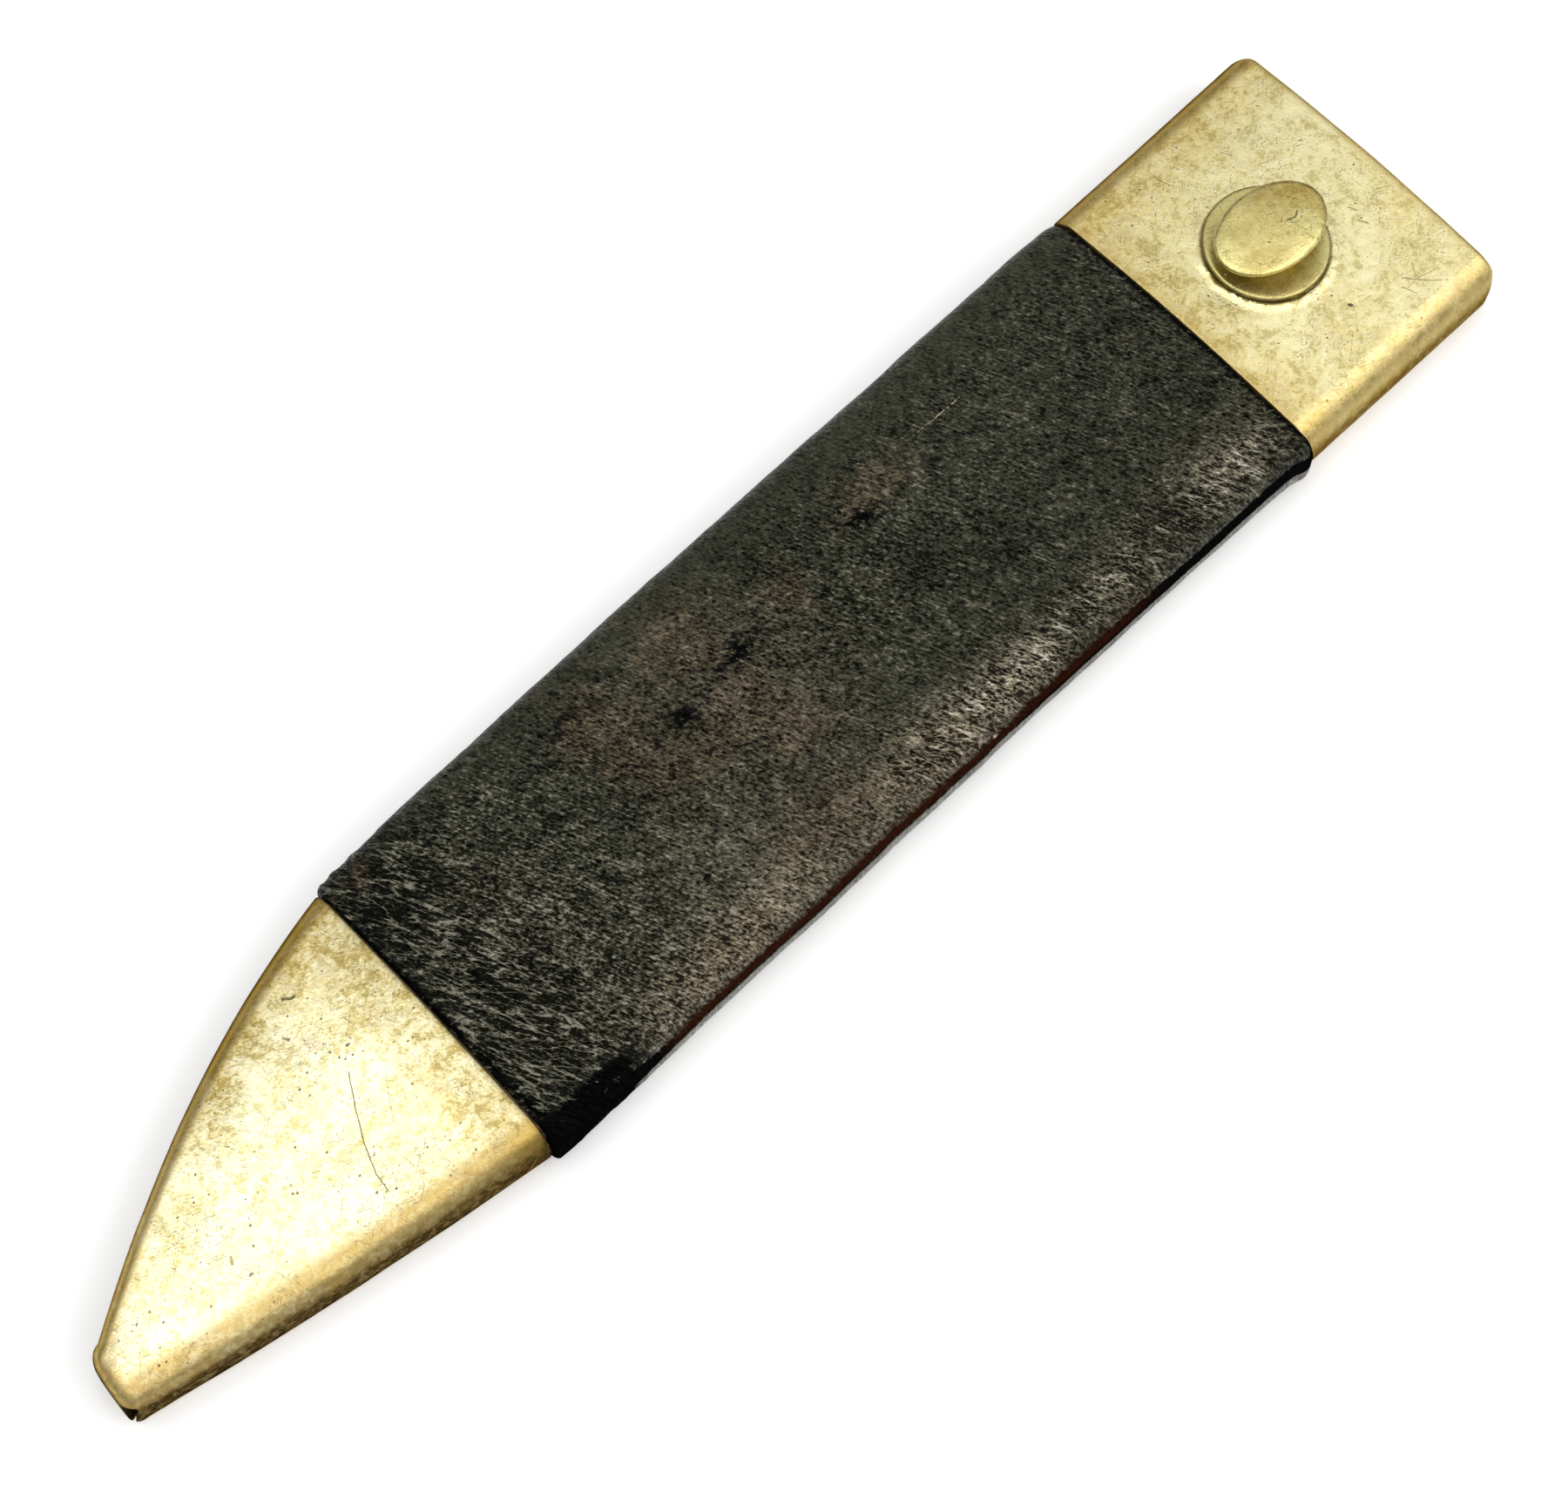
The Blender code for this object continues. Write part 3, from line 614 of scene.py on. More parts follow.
def brass_material(name, tint, gold, warmth, gloss, pitting, marks):
    """Old brass: pale polish, golden and brown tarnish, pits, scratches, grime in the corners, and
    painted shade darkening the lower walls.
    """
    made = Shader(name)
    broad = made.noise(12.0, 4.0, 0.6, warp=0.6)
    medium = made.noise(3.0, 5.0, 0.65, warp=0.6)
    small = made.noise(0.95, 4.0, 0.65, warp=0.4)
    fine = made.noise((0.42, 0.30, 0.36), 3.0, 0.62, 30.0)
    worked = made.span(made.noise(6.0, 3.0, 0.6, warp=0.5), 0.44, 0.58)
    tone = made.weighted((medium, 0.40), (small, 0.34), (fine, 0.26))
    base = made.mix(made.span(broad, 0.42, 0.66), tint, gold)
    pale = tuple(min(1.0, each * more) for each, more in zip(tint, PALER))
    base = made.mix(made.span(tone, 0.51, 0.58, 0.0, 0.8), base, pale)
    base = made.mix(made.span(tone, 0.50, 0.42, 0.0, 0.72), base, OLIVE_TARNISH)
    smudge = made.times(made.span(medium, 0.54, 0.60), made.span(broad, 0.44, 0.56))
    base = made.mix(made.times(smudge, 0.4), base, SMUDGE_BROWN)
    warm = made.times(made.painted("warm"), made.span(tone, 0.56, 0.44, 0.5, 1.0))
    base = made.mix(warm, base, warmth, blend="MULTIPLY")
    speck = made.times(made.span(fine, 0.56, 0.62), made.span(small, 0.49, 0.57))
    speck = made.times(speck, made.span(worked, 0.0, 1.0, 0.25, 1.0))
    base = made.mix(made.times(speck, 0.8), base, SCRATCH_BROWN)
    edge = made.painted("edge")
    base = made.mix(made.times(edge, made.span(small, 0.36, 0.56, 0.6, 1.0)), base, EDGE_BROWN)
    # Grime in the joints, and painted shade on the lower walls, darken the colour here.
    dirt_and_shade = made.painted("dirt_and_shade")
    base = made.mix(made.times(dirt_and_shade, made.span(small, 0.3, 0.6, 0.6, 1.0)), base, DIRT_AND_SHADE_BROWN)
    pit_cell = made.span(made.cells(0.9), 0.07, 0.20, 1.0, 0.0)
    pit = made.times(pit_cell, made.span(made.noise(1.9, 2.0), 0.57 - pitting, 0.66 - pitting))
    base = made.mix(made.times(pit, 0.8), base, PIT_BROWN)
    lines = [made.noise(size, 1.0, 0.4, turn, 0.3) for size, turn in RUBBING_LINES]
    scratches = made.times(made.span(made.most(lines), 0.68, 0.74), worked)
    base = made.mix(made.times(scratches, 0.4), base, SCRATCH_BROWN)
    mark = made.drawn(marks)
    base = made.mix(mark, base, MARK_BROWN)
    height = made.weighted((small, 0.5), (fine, 0.4), (pit, -0.9), (scratches, -0.3), (mark, -0.8))
    rough = made.span(medium, 0.3, 0.7, gloss, gloss + 0.14)
    rough = made.weighted((rough, 1.0), (edge, 0.14), (dirt_and_shade, 0.25))
    low = made.bump(made.noise(2.6, 3.0, 0.5), 0.09)
    normal = made.bump(height, 0.07, Normal=low)
    # Grazing reflections dim at the edges, and more where the grime and the painted shade are.
    grazing = made.mix(made.weighted((edge, 0.8), (dirt_and_shade, 1.2)), WHITE, EDGE_GRAZING)
    grazing = made.mix(dirt_and_shade, grazing, DIRT_AND_SHADE_GRAZING)
    looks = dict(Base_Color=base, Roughness=rough, Normal=normal)
    return made.finish(Metallic=1.0, Specular_Tint=grazing, **looks)


GRAIN_TURN = 65.0
FOLDS = (((9.0, 1.25, 4.0), 70.0), ((6.0, 1.0, 4.0), 50.0))
TONE_MIDDLE = 0.51
TONES = (0.43, 0.465, 0.55, 0.615)
DARK_LEATHER = (
    (0.0018, 0.002, 0.0015),
    (0.0135, 0.0145, 0.009),
    (0.039, 0.042, 0.024),
    (0.200, 0.195, 0.145),
)
PALE_LEATHER = (
    (0.010, 0.009, 0.006),
    (0.140, 0.120, 0.076),
    (0.400, 0.352, 0.238),
    (0.80, 0.75, 0.60),
)
RUST_TONES = (0.43, 0.51, 0.60)
RUST_LEATHER = ((0.012, 0.008, 0.005), (0.088, 0.062, 0.036), (0.24, 0.185, 0.115))
STAIN_AND_SHADE_BLACK = (0.0030, 0.0032, 0.0032)
PORE_BLACK = (0.002, 0.002, 0.002)
RUBBED_RED = (0.026, 0.007, 0.003)
BARE_LEATHER = (0.58, 0.50, 0.37)
LEATHER_GLINT = (1.0, 0.95, 0.82, 1.0)


def leather_material():
    """Worn calf: olive-black grain with pale strokes, brown patches, stains, pores and creases, with
    painted sheen and highlights and a painted dark band of shade on the side wall.
    """
    made = Shader("worn_leather")
    broad = made.noise(9.0, 3.0, 0.6)
    medium = made.noise(2.2, 3.0, 0.6)
    grain = made.noise((0.50, 0.31, 0.4), 3.0, 0.62, GRAIN_TURN, 0.2)
    stroke = made.noise((1.2, 0.25, 0.7), 2.0, 0.55, GRAIN_TURN, 0.4)
    cross = made.noise((1.0, 0.24, 0.7), 2.0, 0.5, 20.0, 0.4)
    folds = []
    for size, turn in FOLDS:
        fold = made.math("SUBTRACT", made.noise(size, 1.5, 0.5, turn, 0.25), 0.5)
        folds.append(made.span(made.math("ABSOLUTE", fold), 0.0, 0.05, 1.0, 0.0))
    ridge = made.times(made.math("SUBTRACT", made.most(folds), 0.45), made.painted("crease"))
    hair = made.span(made.noise((16.0, 0.22, 8.0), 1.0, 0.4, 70.0, 0.3), 0.64, 0.72, 0.0, 0.045)
    tone = made.weighted(
        (broad, 0.07),
        (medium, 0.12),
        (grain, 0.40),
        (stroke, 0.27),
        (cross, 0.14),
        # The crease ridges are lightened: a painted highlight along them.
        (ridge, 0.13),
        (made.painted("pored"), -0.012),
        (hair, 1.0),
    )
    tone = made.times(made.math("SUBTRACT", tone, TONE_MIDDLE), made.painted("contrast"))
    tone = made.math("ADD", tone, TONE_MIDDLE)
    dark = made.ramp(tone, *zip(TONES, DARK_LEATHER))
    pale = made.ramp(tone, *zip(TONES, PALE_LEATHER))
    # Paler leather where scuffed, and painted sheen along the lower shoulder and the low ridge.
    base = made.mix(made.painted("scuff_and_sheen"), dark, pale)
    brown = made.span(made.weighted((made.painted("brown"), 1.0), (medium, 1.6)), 0.90, 1.70)
    base = made.mix(made.times(brown, 0.55), base, made.ramp(tone, *zip(RUST_TONES, RUST_LEATHER)))
    blots = made.noise((0.9, 0.5, 0.7), 2.0, 0.55, 30.0)
    # Black where stained, and on the side wall's upper band as painted shade.
    stain_and_shade = made.span(made.weighted((made.painted("stain_and_shade"), 0.55), (blots, 2.2)), 1.38, 1.52)
    base = made.mix(stain_and_shade, base, STAIN_AND_SHADE_BLACK)
    pore = made.span(made.cells((1.0, 0.6, 0.8), GRAIN_TURN), 0.16, 0.34, 1.0, 0.0)
    pored = made.weighted((made.noise(3.0, 3.0), 1.0), (made.painted("pored"), 0.25))
    pore = made.times(pore, made.span(pored, 0.49, 0.57))
    base = made.mix(made.times(pore, 0.9), base, PORE_BLACK)
    rubbed = made.painted("rubbed")
    base = made.mix(rubbed, base, RUBBED_RED)
    scratch = made.times(made.drawn(LEATHER_SCRATCHES), made.span(grain, 0.42, 0.5))
    base = made.mix(made.most((scratch, made.spots(LEATHER_NICKS))), base, BARE_LEATHER)
    polish = made.painted("polish")
    rough = made.span(tone, 0.44, 0.58, 0.50, 0.38)
    rough = made.weighted((rough, 1.0), (polish, -0.16))
    shine = made.span(tone, 0.45, 0.57, 0.05, 0.34)
    shine = made.weighted((shine, 1.0), (polish, 0.12), (pore, -0.05))
    # No shine where stained or rubbed, nor on the side wall's painted shade.
    covered = made.weighted((made.painted("stain_and_shade"), 1.0), (rubbed, 1.4))
    shine = made.times(shine, made.span(covered, 0.4, 1.0, 1.0, 0.0))
    height = made.weighted((grain, 0.55), (stroke, 0.6), (cross, 0.3), (pore, -0.3))
    height = made.times(height, made.painted("grain"))
    normal = made.bump(height, 0.34, Normal=made.bump(ridge, 0.42))
    looks = dict(Base_Color=base, Roughness=rough, Normal=normal)
    return made.finish(Specular_IOR_Level=shine, Specular_Tint=LEATHER_GLINT, **looks)


def fibre_material(name, size, turn, detail, tones, rough, depth):
    """Plain streaky fibre, for the wooden core and the thread."""
    made = Shader(name)
    streak = made.noise(size, *detail, turn)
    looks = dict(Base_Color=made.ramp(streak, *tones), Normal=made.bump(streak, depth))
    return made.finish(Roughness=made.span(streak, 0.3, 0.7, *rough), **looks)


# Locket: sleeve, mouth plate, frog stud and base disc.

METAL_STEPS = (10, 14, 170, 64)
MOUTH_ROLL = 0.6
MOUTH_CORNER = 2.2
CORNER_REACH = 4.0
EDGE_ROLL = 0.25
LIP_RADIUS = 7.95
LIP_HEIGHT = 0.26
SLOT_HALF_WIDTH = 15.6
SLOT_LOW_Z, SLOT_HIGH_Z = 2.25, 6.75


def with_mouth_corners(points):
    """The points with the mouth's two corners rounded back along X."""
    over = np.clip(np.abs(points[..., 1]) - (MOUTH_HALF_WIDTH - MOUTH_CORNER), 0.0, MOUTH_CORNER)
    shift = MOUTH_CORNER - np.sqrt(MOUTH_CORNER**2 - over**2)
    moved = points.copy()
    moved[..., 0] -= shift * smooth((points[..., 0] - MOUTH_X + CORNER_REACH) / CORNER_REACH)
    return moved


def stud_ring(points):
    """Distance from the stud's axis and the angle round it."""
    x = points[:, 0] - STUD_CENTRE[0]
    y = points[:, 1] - STUD_CENTRE[1]
    return np.hypot(x, y), np.arctan2(y, x)


DENTS = (
    (74.5, 11.0, 2.6, 0.07),
    (93.0, 13.5, 3.2, 0.08),
    (95.5, -9.0, 2.4, 0.06),
    (72.0, -12.0, 3.4, 0.06),
    (-62.0, 8.5, 3.0, 0.06),
    (-71.0, -4.0, 4.0, 0.07),
    (-84.0, -3.0, 3.2, 0.05),
    (-57.0, -10.0, 3.6, 0.06),
)


def sheet_relief(points):
    """Slow waves and shallow dents of hand-worked sheet."""
    offset = 0.035 * lumps(points, 9.0) + 0.012 * lumps(points, 3.0, 7.0)
    front = smooth((points[:, 2] - 5.0) / 3.0)
    for x, y, size, depth in DENTS:
        offset -= depth * front * bell(np.hypot(points[:, 0] - x, points[:, 1] - y), size)
    return offset * smooth(points[:, 2] / 1.5)


def sleeve_relief(points):
    radius, angle = stud_ring(points)
    front = smooth((points[:, 2] - 7.0) / 1.0)
    strength = 0.55 + 0.45 * np.cos(angle - math.radians(-125.0))
    ragged = 1 + 0.5 * lumps(points, 1.1, 3.0)
    inside = smooth((radius - (BASE_RADIUS + 0.02)) / 0.2)
    outside = np.where(radius < LIP_RADIUS, 1.0, bell(radius - LIP_RADIUS, 0.5))
    lip = LIP_HEIGHT * strength * ragged * inside * outside
    return sheet_relief(points) + front * lip


def build_sleeve():
    rings = rolled_rings(LOCKET_EDGE_X, MOUTH_X, EDGE_ROLL, MOUTH_ROLL, 124)
    outer = np.array([envelope(x, inset, METAL_STEPS) for x, inset in rings])
    outer = with_mouth_corners(relieved(outer, sleeve_relief))
    stations = (LOCKET_EDGE_X, MOUTH_X - CORNER_REACH, MOUTH_X)
    inner = np.array([envelope(x, SHEET, METAL_STEPS, hollow=True) for x in stations])
    sleeve = tube("locket_sleeve_brass", outer, with_mouth_corners(inner))
    pins = [pin_hole(pin, 1.5) for pin in ("locket_pin_edge", "locket_pin_spine")]
    cut(sleeve, cylinder("hole_shank", STUD_CENTRE, SHANK_RADIUS + 0.1, 7.0, 11.0), *pins)
    return sleeve


def build_mouth_plate():
    steps = (8, 8, 60, 40)
    inset = SHEET + 0.1
    stations = (PLATE_LOW.x, PLATE_HIGH.x - 0.25, PLATE_HIGH.x - 0.1)
    rows = [with_mouth_corners(envelope(x, inset, steps, hollow=True)) for x in stations]
    plate = loft("mouth_plate_brass", np.array(rows))
    even = (1.0, 1.0)
    sides = (-SLOT_HALF_WIDTH, SLOT_HALF_WIDTH, SLOT_LOW_Z, SLOT_HIGH_Z)
    loop = section(*sides, 0.0, even, even, (4, 8, 20, 20))
    cut(plate, loft("slot", np.array([placed(loop, MOUTH_X - 3.0), placed(loop, MOUTH_X + 3.0)])))
    soften = plate.modifiers.new("soft_edges", "BEVEL")
    soften.width = 0.18 * MM
    soften.segments = 3
    soften.limit_method = "ANGLE"
    soften.angle_limit = math.radians(50)
    settle(plate)
    return plate


# The base disc's (height, distance in from its edge), from underneath to its hole.
DISC_PROFILE = (
    (0.0, 0.2), (0.12, 0.05), (0.25, 0.0), (0.42, 0.04), (0.56, 0.2),
    (0.60, 0.45), (0.57, 0.9), (0.50, 1.7), (0.45, 2.8), (0.43, 4.0),
)


def build_stud():
    under = STUD_HIGH.z - 1.45
    rim = STUD_HIGH.z - 0.62
    levels = [
        (STUD_LOW.z, 2.7, 2.7),
        (STUD_LOW.z + 0.2, 3.2, 3.2),
        (STUD_LOW.z + 0.45, 3.2, 3.2),
        (STUD_LOW.z + 0.47, SHANK_RADIUS, SHANK_RADIUS),
        (BASE_LOW.z + 0.5, SHANK_RADIUS, SHANK_RADIUS),
        (BASE_LOW.z + 1.0, 2.5, 2.5),
        (BASE_LOW.z + 1.8, 2.75, 2.75),
        (under - 0.7, 3.0, 2.9),
        (under - 0.25, 3.5, 3.3),
        (under, 4.6, 3.9),
        (under + 0.08, HEAD_HALF_LENGTH - 0.55, HEAD_HALF_WIDTH - 0.55),
    ]
    for angle in np.linspace(-1.2, 1.35, 9):
        grow = 0.34 * (math.cos(angle) - 1)
        level = (under + rim) / 2 + 0.04 + 0.36 * math.sin(angle)
        levels.append((level, HEAD_HALF_LENGTH + grow, HEAD_HALF_WIDTH + grow))
    top = levels[-1][0]
    dome = STUD_HIGH.z - top
    for share in np.linspace(0.93, 0.03, 24):
        level = top + dome * (1 - share**2) ** 0.9
        levels.append((level, HEAD_HALF_LENGTH * share, HEAD_HALF_WIDTH * share))
    grid = round_loops(STUD_CENTRE, levels, STUD_TURN)

    def head_relief(points):
        above = smooth((points[:, 2] - under) / 0.6)
        flat = 0.10 * bell(np.hypot(points[:, 0] - 80.4, points[:, 1] - 3.6), 1.3)
        return above * (0.035 * lumps(points, 2.6) + 0.012 * lumps(points, 0.9) - flat)

    stud = loft("frog_stud", relieved(grid, head_relief))
    disc = [(z, BASE_RADIUS - drawn_in) for z, drawn_in in DISC_PROFILE]
    disc += [(0.45, SHANK_RADIUS + 0.12), (0.0, SHANK_RADIUS + 0.12)]
    loops = round_loops(STUD_CENTRE, [(BASE_LOW.z + z, r, r) for z, r in disc])
    rows, columns, _ = loops.shape
    faces = grid_faces(rows, columns) + bridge(0, (rows - 1) * columns, columns)
    base = make_object("stud_base_disc", loops.reshape(-1, 3), faces)
    return stud, base


# Leather cover and its stitched back seam.

LEATHER_STEPS = (14, 12, 112, 78)
LEATHER_ROLL = 0.45
LEATHER_RADII = (2.3, 2.5)
LEATHER_FEET = (2.6, 3.0)
GROOVE_HALF_WIDTH = 1.5
CREASE_TURN = -62.0
LEATHER_EDGE = (
    (-49.4, 19.05), (-46.0, 19.35), (-38.0, 19.72), (-22.0, 20.0),
    (-2.0, 20.32), (40.0, 20.5), (66.0, 20.6), (69.0, 20.55),
)
LEATHER_SPINE = (
    (-49.4, -20.15), (-36.0, -20.15), (-1.0, -20.1), (19.0, -20.05),
    (40.0, -20.2), (57.0, -20.45), (69.0, -20.8),
)


def leather_relief(points):
    x, y, z = points.T
    front = smooth((z - 1.0) / 2.0)
    offset = 0.09 * lumps(points, 12.0) + 0.05 * lumps(points, 4.2, 5.0) + 0.03 * lumps(points, 1.5, 9.0)
    wrinkle = 1 - np.abs(lumps(turned(points, CREASE_TURN), (7.0, 1.5, 4.0), 2.0))
    near_chape = smooth((CHAPE_EDGE_X + 17.0 - x) / 14.0)
    offset += 0.16 * near_chape * (wrinkle**3 - 0.3)
    offset += 0.02 * (wrinkle**3 - 0.3)
    lip = bell(x - (LEATHER_END_X - 1.1), 1.2)
    offset += lip * (0.06 + 0.42 * smooth((-y - 15.5) / 4.0))
    offset -= 0.45 * bell(x - LEATHER_END_X, 1.4) * smooth((y - 17.0) / 2.5)
    offset += 0.12 * bell(x - (CHAPE_EDGE_X + 2.0), 2.2) * smooth((-y - 12.0) / 5.0)
    groove = smooth((GROOVE_HALF_WIDTH + 0.35 - np.abs(y)) / 0.6) * smooth((1.0 - z) / 0.5)
    return offset * front * (1 - groove) - 0.45 * groove


def build_leather():
    start = CHAPE_EDGE_X + BUTT_GAP
    outer = []
    for x, inset in rolled_rings(start, LEATHER_END_X, LEATHER_ROLL, LEATHER_ROLL, 292):
        loop = section(
            along(LEATHER_SPINE, x) + inset,
            along(LEATHER_EDGE, x) - inset,
            LEATHER_LOW.z + inset,
            SHOULDER + 0.15 - inset,
            CROWN,
            LEATHER_RADII,
            LEATHER_FEET,
            LEATHER_STEPS,
        )
        outer.append(placed(loop, x))
    stations = np.linspace(start, LEATHER_END_X, 8)
    inner = np.array([envelope(x, SHEET, LEATHER_STEPS, hollow=True) for x in stations])
    cover = tube("leather_cover_worn", relieved(np.array(outer), leather_relief), inner)
    cut(cover, box_solid("slit", (start - 6, -0.1, -1.5), (LEATHER_END_X + 6, 0.1, 1.5)))
    return cover


THREAD_RADIUS = 0.19
STITCH_HALF_WIDTH = 1.15
STITCH_STEP = 1.6


def build_thread():
    """One continuous lacing that crosses the back seam from side to side."""
    level = LEATHER_LOW.z + 0.22
    first = LEATHER_END_X - 1.8
    legs = int((first - (CHAPE_EDGE_X + 2.0)) / STITCH_STEP)
    curve = bpy.data.curves.new("seam_stitching", "CURVE")
    curve.dimensions = "3D"
    curve.bevel_depth = THREAD_RADIUS * MM
    curve.bevel_resolution = 4
    curve.use_fill_caps = True
    route = []
    for leg in range(legs + 1):
        side = STITCH_HALF_WIDTH if leg % 2 else -STITCH_HALF_WIDTH
        for angle in np.linspace(0.0, math.pi, 5):
            x = first - leg * STITCH_STEP + 0.2 * math.cos(angle)
            y = side * (0.82 + 0.18 * math.sin(angle))
            route.append((x, y, level + 0.05 * math.sin(angle)))
    spline = curve.splines.new("POLY")
    spline.points.add(len(route) - 1)
    for point, place in zip(spline.points, route):
        point.co = (*(Vector(place) * MM), 1.0)
    return new_object("seam_stitching", curve)


# Chape: front shell and back plate, parted at the seam, with an open corner at the tip.

CHAPE_STEPS = (12, 14, 120, 50)


def chape_loops(inset, end_inset, steps, spacing, rolled=0.0, hollow=False):
    places = list(np.arange(CHAPE_EDGE_X, EDGE_ARC_END[0], -spacing)) + [EDGE_ARC_END[0]]
    loops = []
    if rolled:
        for angle in np.linspace(0.0, math.pi / 2, 6)[:-1]:
            x = CHAPE_EDGE_X - rolled * (1 - math.cos(angle))
            loops.append(envelope(x, inset + rolled * (1 - math.sin(angle)), steps, hollow=hollow))
        places = [x for x in places if x < CHAPE_EDGE_X - rolled]
    loops += [envelope(x, inset, steps, hollow=hollow) for x in places]
    half_end = (TIP_END_HIGH_Y - TIP_END_LOW_Y) / 2
    roll = EDGE_ARC_END[0] - TIP_X - TIP_SLANT * half_end - end_inset
    for angle in np.linspace(0.0, math.pi / 2, 14)[1:]:
        drawn = 1 - math.cos(angle)
        loops.append(
            envelope(
                EDGE_ARC_END[0] - roll * math.sin(angle),
                inset,
                steps,
                edge_y=EDGE_ARC_END[1] + (TIP_END_HIGH_Y - EDGE_ARC_END[1]) * drawn,
                spine_y=body_spine_y(EDGE_ARC_END[0]) * (1 - drawn) + TIP_END_LOW_Y * drawn,
                squeeze=1.5 * drawn,
                hollow=hollow,
            )
        )
    return np.array(loops)


NOTCH_OUTLINE = (
    (1.0, 6.3), (0.75, 6.75), (0.3, 6.85), (-0.4, 6.75), (-0.95, 6.4),
    (-0.75, 4.6), (-0.3, 2.4), (0.0, 0.4), (0.3, 2.2), (0.7, 4.4),
)


def corner_notch(name):
    """A cutter for the torn corner at the tip; its outline is (sideways, up)."""
    place = np.array([TIP_X + 0.6, TIP_END_LOW_Y - 0.1, 0.0])
    outward = np.array([-1.0, -1.0, 0.0]) / math.sqrt(2)
    across = np.array([1.0, -1.0, 0.0]) / math.sqrt(2)
    loops = []
    for reach in (-1.8, 2.5):
        base = place + outward * reach
        loops.append([base + across * side + np.array([0.0, 0.0, z]) for side, z in NOTCH_OUTLINE])
    return loft(name, np.array(loops))


def build_chape():
    outer = relieved(chape_loops(0.0, 0.0, CHAPE_STEPS, 0.36, EDGE_ROLL), sheet_relief)
    inner = chape_loops(SHEET, SHEET, (3, 4, 24, 12), 4.0, hollow=True)
    inner = np.concatenate([inner[:1] + np.array([5.0, 0.0, 0.0]), inner])
    pieces = []
    for name, low_z, high_z in (
        ("chape_front_brass", -5.0, SEAM_Z),
        ("chape_back_brass", SEAM_Z - SEAM_GAP, 20.0),
    ):
        piece = loft(name, outer)
        cutters = [
            loft("hollow", inner),
            box_solid("beyond_seam", (TIP_X - 5, -30, low_z), (0, 30, high_z)),
            corner_notch("notch"),
        ]
        if name == "chape_back_brass":
            cutters += [pin_hole(pin, 2.0) for pin in ("chape_pin_edge", "chape_pin_spine")]
        cut(piece, *cutters)
        pieces.append(piece)
    return pieces


# Wear that follows the object's shape, painted on the vertices.

def blob(points, x, y, half_x, half_y, turn=0.0):
    """A soft oval patch on the front, about 1 in its middle."""
    local = turned(points - np.array([x, y, 0.0]), turn)
    return bell(np.hypot(local[:, 0] / half_x, local[:, 1] / half_y), 1.0) * (points[:, 2] > 4.0)


def blobs(points, patches):
    return sum(blob(points, *patch) for patch in patches)


def strong_blobs(points, patches):
    return sum(strength * blob(points, *patch) for strength, *patch in patches)


# Patches on the leather's front: (x, y, half length, half width) and perhaps a turn in degrees.
BROWN_PATCHES = (
    (-1.0, 12.5, 5.0, 5.0),
    (0.5, 2.0, 4.0, 5.0),
    (2.0, -5.0, 4.0, 3.0),
    (-8.0, 1.0, 6.0, 3.0),
    (10.0, -16.5, 7.0, 3.0),
    (-4.0, -14.0, 8.0, 4.0),
    (-22.0, -17.0, 12.0, 2.6),
    (28.0, 10.5, 6.0, 2.6),
    (-14.0, 9.0, 5.0, 7.0),
    (-44.2, 16.3, 1.6, 1.4),
    (12.0, 8.0, 3.0, 3.0),
)
STAINS = (
    (-6.6, 5.2, 1.9, 1.5, -35.0),
    (3.2, 6.6, 3.4, 1.7),
    (24.2, 8.6, 3.0, 1.3, -22.0),
    (-17.9, -9.7, 0.75, 0.6),
)
PORED = (
    (14.0, 12.5, 8.0, 4.0, -20.0),
    (24.0, 0.0, 12.0, 5.0, -15.0),
    (-16.0, 15.0, 6.0, 3.0),
    (-10.0, 2.0, 12.0, 8.0),
    (2.0, 6.0, 7.0, 4.0),
    (62.0, 2.0, 6.0, 12.0),
)
# The same after a strength. The pale patches on the lower shoulder are scuffed leather and painted sheen
# together.
SHEEN_AND_SCUFF_PATCHES = (
    (0.9, 24.0, -16.8, 6.0, 2.8),
    (0.95, 11.0, -16.9, 10.0, 3.6),
    (0.45, 39.0, -16.6, 7.0, 3.0),
    (0.62, 59.0, -15.6, 8.0, 3.2),
    (0.68, -20.0, -17.5, 15.0, 3.6),
    (0.12, -38.0, 1.0, 8.0, 9.0),
    (0.12, -42.0, -11.0, 7.0, 3.0),
    (0.16, 0.0, 2.0, 12.0, 9.0),
    (0.12, -14.0, -8.0, 14.0, 6.0),
)
CONTRASTS = (
    (0.7, -36.0, -4.0, 16.0, 16.0),
    (0.4, -40.0, 14.0, 14.0, 5.0),
    (0.35, 48.0, -16.5, 20.0, 3.5),
    (0.3, 14.0, -16.5, 14.0, 3.5),
    (0.3, -20.0, -17.0, 14.0, 3.5),
    (0.25, 20.0, 2.0, 12.0, 6.0),
)
SIDE_TOP_Z = 7.9
WALL_Z = 4.4
RUBBED_Z = 6.9
RIDGE_Z = 2.6


